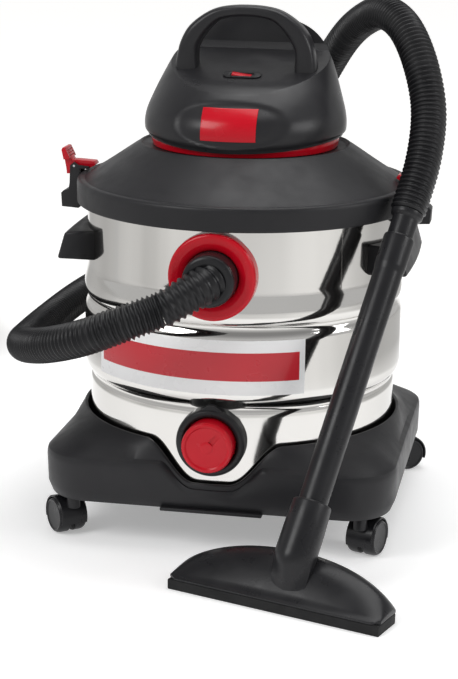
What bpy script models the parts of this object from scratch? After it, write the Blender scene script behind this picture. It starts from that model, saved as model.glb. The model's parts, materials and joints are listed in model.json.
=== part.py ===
"""Wet and dry shop vacuum: polished steel tank on a dolly with four casters, lid with a motor head,
hose, wand and floor nozzle. Metres, +Z up, +X to the machine's right seen from the front, which faces -Y.
The origin is on the floor, on the tank's axis."""

import math

import bmesh
import bpy
from mathutils import Matrix, Vector

# ---- driving dimensions -------------------------------------------------------------------------
GAP = 0.0004  # between touching pieces
ROUND = 40  # segments of the large turned pieces

TANK_R = 0.1800  # middle band, the widest
TANK_UPPER_R = 0.1764
TANK_LOWER_R = 0.1737
TANK_WALL = 0.0015
TANK_FLOOR_Z = 0.0600
TANK_RIM_Z = 0.3700

RIM_R = 0.1883  # the lid's vertical band
RIM_LOW_Z = 0.3580
LEDGE_Z = 0.3835
LID_TOP_R = 0.1185
LID_TOP_Z = 0.4215
LID_WALL = 0.0030

INLET_Z = 0.3095
DRAIN_Z = 0.1285

HANDLE_HALF = 0.0900
DOLLY_CORNER_X, DOLLY_CORNER_Y, DOLLY_CORNER_R = 0.1400, 0.1265, 0.0550
DOLLY_LOW_Z = 0.0480
LATCH_PIVOT_R = 0.1955
LATCH_PIVOT_Z = 0.3895

STEM_X, STEM_Y = 0.1600, 0.1550
AXLE_Z = 0.0200
WHEEL_R = 0.0200
CASTER_TRAIL = 0.0180
CASTERS = (  # name, side in X, side in Y, the way the wheels trail in degrees from +X
    ("front_left", -1, -1, 131),
    ("front_right", 1, -1, 72),
    ("rear_left", -1, 1, 100),
    ("rear_right", 1, 1, 30),
)

SWITCH_Y, SWITCH_SLOPE = -0.0250, math.radians(15)

WAND_HEADING = math.radians(21.5)  # which way the wand leans, from +Y towards +X
WAND_TILT = math.radians(35)
WAND_R = 0.0159
WAND_FOOT = Vector((0.1028, -0.3155, 0.0200))  # where the wand's axis enters the nozzle
WAND_LOW, WAND_HIGH = 0.0720, 0.3967  # the wand's ends, measured along its axis from WAND_FOOT
CUFF_HIGH = 0.4265
SOCKET_HIGH = 0.0952
NOZZLE_X, NOZZLE_Y = 0.0900, -0.3233  # middle of the nozzle's front edge
NOZZLE_TURN = math.radians(18.5)
NOZZLE_HALF = 0.1203

HOSE_D = 0.0390
HOSE_ROUTE = (  # the points that the hose's centre line runs through, from the inlet to the wand
    (-0.0440, -0.2325, 0.2830),
    (-0.0800, -0.2440, 0.2700),
    (-0.1250, -0.2400, 0.2510),
    (-0.1740, -0.2050, 0.2310),
    (-0.2170, -0.1420, 0.2130),
    (-0.2310, -0.0700, 0.2040),
    (-0.2310, 0.0080, 0.2040),
    (-0.2170, 0.0830, 0.2130),
    (-0.1860, 0.1480, 0.2290),
    (-0.1380, 0.2000, 0.2560),
    (-0.0800, 0.2360, 0.2930),
    (-0.0200, 0.2520, 0.3500),
    (0.0250, 0.2480, 0.4170),
    (0.0560, 0.2270, 0.4780),
    (0.0850, 0.1930, 0.5230),
    (0.1140, 0.1460, 0.5500),
    (0.1420, 0.0940, 0.5620),
    (0.1700, 0.0440, 0.5500),
    (0.1920, 0.0060, 0.5150),
    (0.2050, -0.0230, 0.4690),
    (0.2040, -0.0550, 0.4200),
    (0.1925, -0.0877, 0.3698),
)


# ---- shape helpers ------------------------------------------------------------------------------
def clear_scene():
    for obj in list(bpy.data.objects):
        bpy.data.objects.remove(obj, do_unlink=True)


def material(name, colour, roughness, metallic=0.0):
    made = bpy.data.materials.new(name)
    made.use_nodes = True
    shader = made.node_tree.nodes["Principled BSDF"]
    shader.inputs["Base Color"].default_value = (*colour, 1)
    shader.inputs["Roughness"].default_value = roughness
    shader.inputs["Metallic"].default_value = metallic
    return made


def make_materials():
    return {
        "steel": material("polished_steel", (0.72, 0.70, 0.67), 0.08, 1.0),
        "black": material("charcoal_plastic", (0.035, 0.035, 0.038), 0.45),
        "satin": material("satin_black_plastic", (0.022, 0.022, 0.025), 0.30),
        "red": material("red_plastic", (0.52, 0.004, 0.025), 0.22),
        "rubber": material("black_rubber", (0.015, 0.015, 0.015), 0.75),
        "label": material("white_film", (0.82, 0.82, 0.82), 0.35),
        "zinc": material("zinc_steel", (0.60, 0.60, 0.62), 0.35, 1.0),
        "iron": material("lamination_iron", (0.20, 0.20, 0.21), 0.50, 1.0),
        "paper": material("filter_paper", (0.80, 0.76, 0.66), 0.90),
        "float": material("float_plastic", (0.75, 0.75, 0.73), 0.50),
    }


def add(name, bm, mat, place=None, smooth=35):
    """A closed bmesh as a named object, faces out, smooth where it is round."""
    bmesh.ops.recalc_face_normals(bm, faces=bm.faces)
    mesh = bpy.data.meshes.new(name)
    bm.to_mesh(mesh)
    bm.free()
    mesh.shade_smooth()
    mesh.set_sharp_from_angle(angle=math.radians(smooth))
    obj = bpy.data.objects.new(name, mesh)
    bpy.context.scene.collection.objects.link(obj)
    if mat is not None:
        mesh.materials.append(mat)
    if place is not None:
        obj.matrix_world = place
    return obj


def bridge_rings(rings, closed_loop):
    """A bmesh through rings of points. A ring of one point is a pole."""
    bm = bmesh.new()
    made = [[bm.verts.new(p) for p in ring] for ring in rings]
    pairs = list(zip(made, made[1:]))
    if closed_loop:
        pairs.append((made[-1], made[0]))
    for low, high in pairs:
        count = max(len(low), len(high))
        for i in range(count):
            j = (i + 1) % count
            corners = [low[i % len(low)], low[j % len(low)], high[j % len(high)], high[i % len(high)]]
            face = list(dict.fromkeys(corners))
            if len(face) > 2:
                bm.faces.new(face)
    if not closed_loop:
        for ring in (made[0], made[-1]):
            if len(ring) > 2:
                bm.faces.new(ring)
    return bm


def turned(name, profile, mat, segments=ROUND, place=None, smooth=35):
    """A closed (radius, height) outline turned round local Z. Points on the axis become poles."""
    rings = []
    for radius, height in profile:
        if radius == 0:
            rings.append([(0, 0, height)])
            continue
        steps = [2 * math.pi * i / segments for i in range(segments)]
        rings.append([(radius * math.cos(a), radius * math.sin(a), height) for a in steps])
    on_axis = profile[0][0] == 0 and profile[-1][0] == 0
    return add(name, bridge_rings(rings, not on_axis), mat, place, smooth)


def prism(name, outline, low, high, mat, place=None, smooth=35):
    """A flat outline in local X and Y, extruded from low to high along local Z."""
    rings = [[(x, y, z) for x, y in outline] for z in (low, high)]
    return add(name, bridge_rings(rings, False), mat, place, smooth)


def box(name, low, high, mat, place=None):
    outline = [(low[0], low[1]), (high[0], low[1]), (high[0], high[1]), (low[0], high[1])]
    return prism(name, outline, low[2], high[2], mat, place)


def baked(obj):
    """The object with its modifiers applied."""
    graph = bpy.context.evaluated_depsgraph_get()
    mesh = bpy.data.meshes.new_from_object(obj.evaluated_get(graph))
    obj.modifiers.clear()
    obj.data = mesh
    return obj


def combine(obj, operation, others):
    """Boolean with each of the other objects, which are used up."""
    for other in others:
        other.hide_render = True
        other.display_type = "WIRE"
        step = obj.modifiers.new(operation.title(), "BOOLEAN")
        step.operation = operation
        step.solver = "EXACT"
        step.object = other
    baked(obj)
    for other in others:
        bpy.data.objects.remove(other, do_unlink=True)
    return obj


def cut(obj, *cutters):
    return combine(obj, "DIFFERENCE", cutters)


def join(obj, *others):
    return combine(obj, "UNION", others)


def rounded(obj, width, segments=2, angle=30):
    """Rounds the object's sharp edges."""
    step = obj.modifiers.new("Bevel", "BEVEL")
    step.width = width
    step.segments = segments
    step.limit_method = "ANGLE"
    step.angle_limit = math.radians(angle)
    step.harden_normals = False
    return baked(obj)


def outward(angle, height=0.0):
    """Local X points away from the tank's axis at this angle, local Y along the rim, local Z up."""
    return Matrix.Translation((0, 0, height)) @ Matrix.Rotation(angle, 4, "Z")


def facing_front(height):
    """Local Z points to the front, out of the tank, from the tank's axis at this height."""
    return Matrix.Translation((0, 0, height)) @ Matrix.Rotation(math.radians(90), 4, "X")


def radial_plane(angle):
    """An outline's X is the distance from the tank's axis and its Y the height. It is extruded along the rim."""
    return outward(angle) @ Matrix.Rotation(math.radians(90), 4, "X")


def wall_cutter(radius, low, high):
    """A cylinder with the tank's own facets, for saddling a piece on the tank."""
    return turned("wall_cutter", [(0, low), (radius, low), (radius, high), (0, high)], None)


# ---- tank ---------------------------------------------------------------------------------------
def make_tank(mats):
    wall = [
        (TANK_LOWER_R, 0.0680),
        (TANK_LOWER_R, 0.1580),
        (0.1714, 0.1640),
        (0.1790, 0.1740),
        (TANK_R, 0.1800),
        (TANK_R, 0.2440),
        (0.1745, 0.2525),
        (0.1792, 0.2600),
        (0.1805, 0.2680),
        (0.1785, 0.2780),
        (TANK_UPPER_R, 0.2870),
        (TANK_UPPER_R, 0.3600),
    ]
    inner_wall = [
        (TANK_UPPER_R, 0.3600), (TANK_UPPER_R, 0.2870), (0.1805, 0.2680), (0.1745, 0.2525), (TANK_R, 0.2440),
        (TANK_R, 0.1800), (0.1714, 0.1640), (TANK_LOWER_R, 0.1580), (TANK_LOWER_R, 0.0680),
    ]
    outside = [(0, TANK_FLOOR_Z), (0.1670, TANK_FLOOR_Z), (0.1722, 0.0622), *wall]
    rim = [(0.1800, 0.3640), (0.1800, TANK_RIM_Z), (TANK_UPPER_R - TANK_WALL, TANK_RIM_Z)]
    inside = [(r - TANK_WALL, z) for r, z in inner_wall[1:]]
    floor = [(0.1665, TANK_FLOOR_Z + TANK_WALL), (0, TANK_FLOOR_Z + TANK_WALL)]
    shell = turned("tank_shell", outside + rim + inside + floor, mats["steel"])
    holes = [(INLET_Z, 0.0360), (DRAIN_Z, 0.0185)]
    for height, radius in holes:
        outline = [(0, 0.150), (radius, 0.150), (radius, 0.200), (0, 0.200)]
        cut(shell, turned("hole", outline, None, 24, facing_front(height)))


def make_tank_handle(side, angle, mats):
    """A scoop on the tank's side: a slanting block, hollow from below for the fingers."""
    steps = 6

    def ring_of(half, inset, heights):
        rows = []
        for i in range(steps + 1):
            y = half * (2 * i / steps - 1)
            bow = 0.0030 * (1 - (y / half) ** 2) - inset
            corners = zip((0.1400, 0.1945 + bow, 0.1855 + bow, 0.1400), heights)
            rows.append([(x, y, z) for x, z in corners])
        return rows

    body = add(
        f"tank_handle_{side}",
        bridge_rings(ring_of(HANDLE_HALF, 0, (0.2985, 0.2985, 0.3290, 0.3345)), False),
        mats["black"],
        outward(angle),
    )
    rounded(body, 0.0020)
    hollow = add(
        "hollow",
        bridge_rings(ring_of(HANDLE_HALF - 0.0030, 0.0026, (0.2900, 0.2900, 0.3262, 0.3310)), False),
        None,
        outward(angle),
    )
    cut(hollow, wall_cutter(TANK_UPPER_R + 0.0026, 0.25, 0.40))
    cut(body, hollow, wall_cutter(TANK_UPPER_R + GAP, 0.25, 0.40))


def make_inlet(mats):
    front = facing_front(INLET_Z)
    flange = turned(
        "inlet_flange",
        [
            (0.0286, 0.160), (0.0470, 0.160), (0.0470, 0.1840), (0.0463, 0.1872), (0.0445, 0.1888),
            (0.0400, 0.1892), (0.0310, 0.1868), (0.0286, 0.1855),
        ],
        mats["red"], 32, front,
    )
    cut(flange, wall_cutter(TANK_UPPER_R + 0.0045, 0.20, 0.2885), wall_cutter(TANK_UPPER_R + GAP, 0.20, 0.40))
    deflector = turned(
        "inlet_deflector",
        [
            (0, 0.1230), (0.0349, 0.1230), (0.0349, 0.1580), (0.0440, 0.1580), (0.0440, 0.1650),
            (0.0349, 0.1650), (0.0349, 0.1726), (0.0320, 0.1726), (0.0320, 0.1260), (0, 0.1260),
        ],
        mats["black"], 24, front,
    )
    cut(deflector, box("mouth", (-0.024, -0.170, INLET_Z - 0.050), (0.024, -0.132, INLET_Z - 0.016), None))
    seal = turned(
        "inlet_seal",
        [(0.0356, 0.140), (0.0450, 0.140), (0.0450, 0.190), (0.0356, 0.190)],
        mats["rubber"], 32, front,
    )
    inside_wall = TANK_UPPER_R - TANK_WALL - GAP
    inner = inside_wall - 0.0025
    band = [(inner, 0.250), (inside_wall, 0.250), (inside_wall, 0.362), (inner, 0.362)]
    combine(seal, "INTERSECT", [turned("inside_skin", band, None)])


def make_drain(mats):
    front = facing_front(DRAIN_Z)
    spout = turned(
        "drain_spout",
        [
            (0.0190, 0.150), (0.0375, 0.150), (0.0375, 0.1850), (0.0360, 0.1885), (0.0335, 0.1895),
            (0.0300, 0.1892), (0.0288, 0.1878), (0.0288, 0.1765), (0.0190, 0.1765),
        ],
        mats["satin"], 36, front,
    )
    cut(spout, wall_cutter(TANK_LOWER_R + GAP, 0.07, 0.1675))
    tab = [(-0.0200, 0.0300), (0.0200, 0.0300), (0.0030, 0.0415), (-0.0030, 0.0415)]
    join(spout, prism("tab", tab, 0.1785, 0.1870, None, front))
    turned(
        "drain_seal",
        [(0.0192, 0.1769), (0.0280, 0.1769), (0.0280, 0.1785), (0.0192, 0.1785)],
        mats["rubber"], 32, front,
    )
    cap = turned(
        "drain_cap",
        [
            (0, 0.1600), (0.0168, 0.1600), (0.0168, 0.1789), (0.0278, 0.1789), (0.0278, 0.2024),
            (0.0262, 0.2048), (0.0235, 0.2048), (0.0222, 0.2034), (0, 0.2030),
        ],
        mats["red"], 36, front,
    )
    askew = front @ Matrix.Rotation(0.9, 4, "Z")
    coin_slot = box("coin_slot", (0.0060, -0.0030, 0.2012), (0.0170, 0.0030, 0.2100), None, askew)
    cut(cap, coin_slot)


def make_label(mats):
    """A plain film round part of the middle band."""
    start, end = math.radians(-49.3), math.radians(31.9)
    steps = 12
    rows = []
    for i in range(steps + 1):
        a = start + (end - start) * i / steps - math.pi / 2
        corners = [(0.1804, 0.1810), (0.1810, 0.1810), (0.1810, 0.2410), (0.1804, 0.2410)]
        rows.append([(r * math.cos(a), r * math.sin(a), z) for r, z in corners])
    add("front_label", bridge_rings(rows, False), mats["label"])


# ---- dolly and casters --------------------------------------------------------------------------
def dolly_reach(angle, inset=0.0):
    """How far the dolly's rounded rectangle reaches from the axis at this angle."""
    near, far = 0.10, 0.30
    for _ in range(20):
        reach = (near + far) / 2
        past_x = max(reach * abs(math.cos(angle)) - DOLLY_CORNER_X, 0)
        past_y = max(reach * abs(math.sin(angle)) - DOLLY_CORNER_Y, 0)
        if math.hypot(past_x, past_y) < DOLLY_CORNER_R - inset:
            near = reach
        else:
            far = reach
    return near


def dolly_top(angle):
    """The height of the dolly's top edge, which dips in front below the drain."""
    from_front = abs(math.degrees(math.remainder(angle + math.pi / 2, 2 * math.pi)))
    if from_front < 6:
        return 0.0800
    if from_front < 25:
        return 0.0800 + 0.0430 * 0.5 * (1 - math.cos(math.pi * (from_front - 6) / 19))
    return 0.1230


def make_dolly(mats):
    """A bowl for the tank inside a rounded square skirt, hollow from below where the skirt stands out."""
    count = 48
    bowl, wall = 0.1775, 0.0035
    columns = []
    for i in range(count):
        a = 2 * math.pi * i / count
        top, reach = dolly_top(a), dolly_reach(a)
        foot = dolly_reach(a, 0.0060)
        crease_z = min(0.1010, top - 0.0060)
        crease = max(reach - 0.0060, bowl + wall + 0.0001)
        mid, mid_z = (bowl + wall + crease) / 2, (top + crease_z) / 2 + 0.0015
        column = [
            (bowl, TANK_FLOOR_Z - GAP), (bowl, top), (bowl + wall - 0.0002, top), (mid, mid_z),
            (crease, crease_z), (max(reach - 0.0014, crease + 0.0001), crease_z - 0.0035), (reach, crease_z - 0.0090),
            (reach - 0.0010, 0.0600), (foot, DOLLY_LOW_Z), (foot - wall, DOLLY_LOW_Z + 0.0002),
        ]
        if reach < 0.1880:
            column += [(0.1700, 0.0550), (0.1690, 0.0552), (0.1680, 0.0554), (0.1670, 0.0556)]
        elif reach < 0.1930:
            column += [(reach - 0.0055, 0.0552), (0.1820, 0.0554), (0.1815, 0.0555), (0.1810, 0.0556)]
        else:
            column += [
                (reach - 0.0012 - wall, 0.0600), (crease - 0.0030, crease_z - 0.0050),
                (max(mid - wall, 0.1812), mid_z - 0.0042), (0.1808, 0.0556),
            ]
        columns.append([(r * math.cos(a), r * math.sin(a), z) for r, z in column])
    rings = [list(ring) for ring in zip(*columns)]
    levels = [[(0, 0, TANK_FLOOR_Z - GAP)], *rings, [(0, 0, 0.0556)]]
    base = add("dolly_base", bridge_rings(levels, False), mats["black"], smooth=40)
    bosses, bores = [], []
    for _, side_x, side_y, _ in CASTERS:
        place = Matrix.Translation((STEM_X * side_x, STEM_Y * side_y, 0))
        boss = [(0, 0.0535), (0.0100, 0.0535), (0.0100, 0.1025), (0, 0.1025)]
        bore = [(0, 0.0500), (0.0046, 0.0500), (0.0046, 0.0790), (0, 0.0790)]
        bosses.append(turned("boss", boss, None, 12, place))
        bores.append(turned("bore", bore, None, 8, place))
    join(base, *bosses)
    cut(base, *bores)


def make_casters(mats):
    """Four twin-wheel casters. They share their meshes. Local X is the way the wheels trail."""
    axle = Matrix.Translation((CASTER_TRAIL, 0, AXLE_Z)) @ Matrix.Rotation(math.radians(90), 4, "X")
    shell = turned(
        "hood_mesh",
        [
            (0.0040, -0.0020), (0.0206, -0.0020), (0.0206, -0.0150), (0.0225, -0.0150),
            (0.0225, 0.0150), (0.0206, 0.0150), (0.0206, 0.0020), (0.0040, 0.0020),
        ],
        mats["satin"], 20, axle,
    )
    neck = turned("neck", [(0, 0.0330), (0.0070, 0.0330), (0.0070, 0.0530), (0, 0.0530)], None, 16)
    join(shell, neck)
    rooms = [
        turned("room", [(0, sign * 0.0021), (0.0205, sign * 0.0021), (0.0205, sign * 0.0160), (0, sign * 0.0160)],
               None, 20, axle)
        for sign in (-1, 1)
    ]
    below = box("below", (-0.030, -0.030, -0.010), (0.050, 0.030, AXLE_Z - 0.0065), None)
    bore = turned("bore", [(0, 0.0444), (0.0043, 0.0444), (0.0043, 0.0600), (0, 0.0600)], None, 12)
    cut(shell, *rooms, below, bore)
    pin = [(0, 0.0448), (0.0040, 0.0448), (0.0040, 0.0780), (0, 0.0780)]
    stem = turned("stem_mesh", pin, mats["zinc"], 12)

    # the inner wheel's hub ends in the spindle that both wheels turn on
    rim = [
        (0.0190, 0.0026), (WHEEL_R, 0.0045), (WHEEL_R, 0.0120), (0.0193, 0.0152), (0.0176, 0.0165), (0.0152, 0.0158),
    ]
    spindle = [(0, -0.0120), (0.0035, -0.0120), (0.0035, 0.0026), *rim, (0, 0.0152)]
    socket = [(0, 0.0125), (0.0039, 0.0125), (0.0039, 0.0026), *rim, (0, 0.0152)]
    inner = turned("inner_mesh", spindle, mats["satin"], 20, axle)
    outer = turned("outer_mesh", socket, mats["satin"], 20, axle @ Matrix.Rotation(math.pi, 4, "X"))
    pieces = {"hood": shell, "stem": stem, "wheel_inner": inner, "wheel_outer": outer}
    for name, side_x, side_y, trail in CASTERS:
        turn = Matrix.Rotation(math.radians(trail), 4, "Z")
        place = Matrix.Translation((STEM_X * side_x, STEM_Y * side_y, 0)) @ turn
        for kind, piece in pieces.items():
            copy = bpy.data.objects.new(f"caster_{kind}_{name}", piece.data)
            copy.matrix_world = place @ piece.matrix_world
            bpy.context.scene.collection.objects.link(copy)
    for piece in pieces.values():
        bpy.data.objects.remove(piece, do_unlink=True)


# ---- lid and latches ----------------------------------------------------------------------------
def make_lid(mats):
    turned(
        "lid_shell",
        [
            (0.1855, RIM_LOW_Z), (RIM_R, RIM_LOW_Z), (RIM_R, 0.3790), (0.1868, 0.3818), (0.1815, LEDGE_Z),
            (0.1795, 0.3842), (0.1490, 0.4030), (LID_TOP_R, 0.4225), (0.1165, 0.4240), (0.1148, LID_TOP_Z + 0.0005),
            (0.1120, LID_TOP_Z), (0.0400, LID_TOP_Z), (0.0400, LID_TOP_Z - LID_WALL),
            (LID_TOP_R - 0.0020, LID_TOP_Z - LID_WALL), (0.1790, 0.3805), (0.1855, 0.3785),
        ],
        mats["black"],
    )
    seal = [(0.1770, 0.3704), (0.1830, 0.3704), (0.1830, 0.3778), (0.1775, 0.3778)]
    turned("lid_seal", seal, mats["rubber"])


def make_latch(side, angle, mats):
    plane = radial_plane(angle)
    half = 0.0120
    bracket = prism(
        f"latch_bracket_{side}",
        [
            (0.1780, 0.3868), (0.1888, 0.3868), (0.1888, 0.3425), (0.1905, 0.3412), (0.2100, 0.3424),
            (0.2108, 0.3580), (0.2085, 0.3605), (0.2020, 0.3625), (0.2008, 0.3700), (0.2000, 0.3900),
            (0.1955, 0.3937), (0.1910, 0.3905), (0.1780, 0.3893),
        ],
        -half, half, mats["black"], plane,
    )
    fork = box("fork", (0.1892, 0.3752, -0.0080), (0.2100, 0.4100, 0.0080), None, plane)
    slot = box("slot", (0.1700, 0.3752, -0.0080), (0.1900, 0.4100, 0.0080), None, plane)
    bore = turned("bore", [(0, -0.02), (0.0016, -0.02), (0.0016, 0.02), (0, 0.02)], None, 12,
                  plane @ Matrix.Translation((LATCH_PIVOT_R, LATCH_PIVOT_Z, 0)))
    cut(bracket, fork, slot, bore)
    pin = [(0, -0.0118), (0.0013, -0.0118), (0.0013, 0.0118), (0, 0.0118)]
    pivot = plane @ Matrix.Translation((LATCH_PIVOT_R, LATCH_PIVOT_Z, 0))
    turned(f"latch_pin_{side}", pin, mats["zinc"], 12, pivot)
    lever = prism(
        f"latch_lever_{side}",
        [
            (-0.0245, 0.0022), (-0.0235, 0.0010), (-0.0150, -0.0036), (-0.0035, -0.0036), (0.0000, -0.0042),
            (0.0052, -0.0095), (0.0095, -0.0098), (0.0100, -0.0040), (0.0140, 0.0180), (0.0128, 0.0205),
            (0.0098, 0.0203), (0.0030, 0.0062), (-0.0035, 0.0062), (-0.0225, 0.0052),
        ],
        -0.0076, 0.0076, mats["red"], plane @ Matrix.Translation((LATCH_PIVOT_R, LATCH_PIVOT_Z, 0)),
    )
    lever_place = plane @ Matrix.Translation((LATCH_PIVOT_R, LATCH_PIVOT_Z, 0))
    thumb = prism(
        "thumb",
        [(0.0042, 0.0085), (0.0116, 0.0070), (0.0140, 0.0180), (0.0128, 0.0205), (0.0098, 0.0203)],
        -0.0135, 0.0135, None, lever_place,
    )
    join(lever, thumb)
    hole = turned("hole", [(0, -0.02), (0.0017, -0.02), (0.0017, 0.02), (0, 0.02)], None, 12, lever_place)
    ribs = [
        box("rib", (z * 0.46 - 0.004, z, -0.0115), (z * 0.46 + 0.0013, z + 0.0011, 0.0115), None, lever_place)
        for z in (0.0105, 0.0135, 0.0165)
    ]
    cut(lever, hole, *ribs)


# ---- motor head ---------------------------------------------------------------------------------
HEAD_SECTIONS = (  # height, half width, half depth, middle's Y
    (0.4285, 0.1085, 0.1085, 0.0000),
    (0.4360, 0.1115, 0.1115, 0.0000),
    (0.4480, 0.1125, 0.1125, 0.0005),
    (0.4600, 0.1107, 0.1105, 0.0030),
    (0.4720, 0.1068, 0.1055, 0.0090),
    (0.4850, 0.1020, 0.0975, 0.0170),
    (0.5000, 0.0960, 0.0865, 0.0280),
    (0.5150, 0.0890, 0.0760, 0.0380),
    (0.5300, 0.0795, 0.0640, 0.0480),
    (0.5430, 0.0660, 0.0500, 0.0550),
    (0.5520, 0.0480, 0.0360, 0.0590),
    (0.5570, 0.0250, 0.0190, 0.0600),
)
HEAD_SEGMENTS = 36


def head_solid(name, inset, lift, bottom, mat):
    """The head's closed outer shape, or the same moved in by inset for its hollow."""
    rings = []
    for height, half_x, half_y, middle in HEAD_SECTIONS:
        z = height - inset if height > HEAD_SECTIONS[0][0] else bottom
        ring = []
        for i in range(HEAD_SEGMENTS):
            a = 2 * math.pi * i / HEAD_SEGMENTS
            rise = lift * math.cos(a) ** 2 if z == bottom else 0
            ring.append(((half_x - inset) * math.cos(a), middle + (half_y - inset) * math.sin(a), z + rise))
        rings.append(ring)
    return add(name, bridge_rings(rings, False), mat, smooth=50)


def deck_outline(drop):
    """Side view of what is taken off above the front deck, as (Y, Z)."""
    return [
        (-0.200, 0.4790 - 0.0950 * 0.27 - drop), (-0.105, 0.4790 - drop), (0.0540 + drop, 0.5215 - drop),
        (0.0600 + drop, 0.5290 - drop), (0.0680 + drop, 0.700), (-0.200, 0.700),
    ]


def make_head(mats):
    side_view = Matrix(((0, 0, 1, 0), (1, 0, 0, 0), (0, 1, 0, 0), (0, 0, 0, 1)))
    cover = head_solid("motor_cover", 0.0, 0.0080, 0.4285, mats["black"])
    cut(cover, prism("deck", deck_outline(0.0), -0.13, 0.13, None, side_view))
    rounded(cover, 0.0030, 2, 25)
    hollow = head_solid("hollow", 0.0030, 0.0, 0.4200, None)
    cut(hollow, prism("deck", deck_outline(0.0035), -0.13, 0.13, None, side_view))
    cut(cover, hollow)
    grille_hole = box("grille_hole", (-0.0360, 0.085, 0.4500), (0.0360, 0.125, 0.4740), None)
    cord_hole = turned("cord_hole", [(0, 0.085), (0.0080, 0.085), (0.0080, 0.125), (0, 0.125)], None, 16,
                       Matrix.Translation((0.0560, 0, 0.4520)) @ Matrix.Rotation(math.radians(-90), 4, "X"))
    deck = Matrix.Translation((0, SWITCH_Y, deck_height(SWITCH_Y))) @ Matrix.Rotation(SWITCH_SLOPE, 4, "X")
    switch_hole = box("switch_hole", (-0.0170, -0.0062, -0.012), (0.0170, 0.0062, 0.012), None, deck)
    cut(cover, grille_hole, cord_hole, switch_hole)
    make_switch(deck, mats)
    make_carry_handle(mats)
    make_exhaust_grille(mats)
    make_cord_gland(mats)
    turned(
        "trim_ring",
        [
            (0.0990, 0.4219), (0.1035, 0.4219), (0.1046, 0.4280), (0.1048, 0.4360), (0.1035, 0.4390),
            (0.0990, 0.4390),
        ],
        mats["red"],
    )
    badge = box("front_badge", (-0.0300, -0.1300, 0.4415), (0.0300, -0.0900, 0.4745), mats["red"])
    skin = head_solid("skin", -0.0014, 0.0, 0.4200, None)
    cut(skin, head_solid("under", -GAP, 0.0, 0.4100, None))
    combine(badge, "INTERSECT", [skin])


def make_exhaust_grille(mats):
    """A slotted plate in the back of the cover, where the blower's air leaves."""
    plate = box("exhaust_grille", (-0.0356, 0.1030, 0.4504), (0.0356, 0.1115, 0.4736), mats["satin"])
    levels = (0.4540, 0.4600, 0.4660)
    slots = [box("slot", (-0.0320, 0.09, z), (0.0320, 0.13, z + 0.0028), None) for z in levels]
    cut(plate, *slots)


def make_cord_gland(mats):
    """The power cord's inlet in the back of the cover. The cord itself is left out."""
    place = Matrix.Translation((0.0560, 0, 0.4520)) @ Matrix.Rotation(math.radians(-90), 4, "X")
    turned(
        "cord_gland",
        [(0.0035, 0.0880), (0.0076, 0.0880), (0.0076, 0.1060), (0.0060, 0.1160), (0.0035, 0.1160)],
        mats["rubber"], 16, place,
    )


def deck_height(y):
    """The deck's surface, between its front edge and the hump."""
    return 0.4790 + (y + 0.105) * (0.5215 - 0.4790) / (0.0540 + 0.105)


def make_switch(deck, mats):
    bezel = stadium("switch_bezel", 0.0215, 0.0085, -0.0060, 0.0016, mats["satin"], deck)
    opening = box("opening", (-0.0125, -0.0048, -0.02), (0.0125, 0.0048, 0.02), None, deck)
    skirt = box("skirt", (-0.03, -0.03, -0.02), (0.03, 0.03, 0.0004), None, deck)
    core = box("core", (-0.0166, -0.0058, -0.0060), (0.0166, 0.0058, 0.0010), None, deck)
    cut(bezel, skirt)
    join(bezel, core)
    cut(bezel, opening)
    rocker_place = deck @ Matrix.Translation((0, 0, -0.0010)) @ Matrix.Rotation(math.radians(90), 4, "X")
    rocker = prism(
        "switch_rocker",
        [
            (-0.0115, -0.0005), (0.0, -0.0040), (0.0115, -0.0022), (0.0118, 0.0008), (0.0, 0.0022),
            (-0.0113, 0.0040),
        ],
        -0.0042, 0.0042, mats["red"], rocker_place,
    )
    return rocker


def stadium(name, half_length, radius, low, high, mat, place):
    outline = []
    for i in range(17):
        a = math.pi * (i / 16 - 0.5)
        outline.append((half_length - radius + radius * math.cos(a), radius * math.sin(a)))
    for i in range(17):
        a = math.pi * (i / 16 + 0.5)
        outline.append((-half_length + radius + radius * math.cos(a), radius * math.sin(a)))
    return prism(name, outline, low, high, mat, place)


def make_carry_handle(mats):
    """An arch over the deck, from two feet up to the grip."""
    half = [  # across, height, half thickness
        (0.0670, 0.4950, 0.0132), (0.0668, 0.5080, 0.0126), (0.0660, 0.5190, 0.0114),
        (0.0640, 0.5300, 0.0106), (0.0570, 0.5435, 0.0103), (0.0455, 0.5555, 0.0086),
        (0.0330, 0.5638, 0.0070), (0.0170, 0.5675, 0.0064),
    ]
    path = [(-x, z, thick) for x, z, thick in half] + [(0.0, 0.5685, 0.0062)] + half[::-1]
    rings = []
    for i, (x, z, thick) in enumerate(path):
        before = Vector(path[max(i - 1, 0)][:2])
        after = Vector(path[min(i + 1, len(path) - 1)][:2])
        ahead = (after - before).normalized()
        side = Vector((-ahead.y, ahead.x))
        deep = 0.0115 + 0.0030 * (abs(x) / 0.067) ** 2
        ring = []
        for k in range(10):
            a = 2 * math.pi * k / 10
            out = side * thick * math.copysign(abs(math.cos(a)) ** 0.7, math.cos(a))
            y = deep * math.copysign(abs(math.sin(a)) ** 0.7, math.sin(a))
            ring.append((x + out.x, 0.0020 + y, z + out.y))
        rings.append(ring)
    handle = add("carry_handle", bridge_rings(rings, False), mats["black"], smooth=50)
    slope = math.atan2(0.5215 - 0.4790, 0.0540 + 0.105)
    deck = Matrix.Translation((0, 0, deck_height(0) + GAP)) @ Matrix.Rotation(slope, 4, "X")
    cut(handle, box("below_deck", (-0.10, -0.05, -0.05), (0.10, 0.05, 0.0), None, deck))


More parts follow.
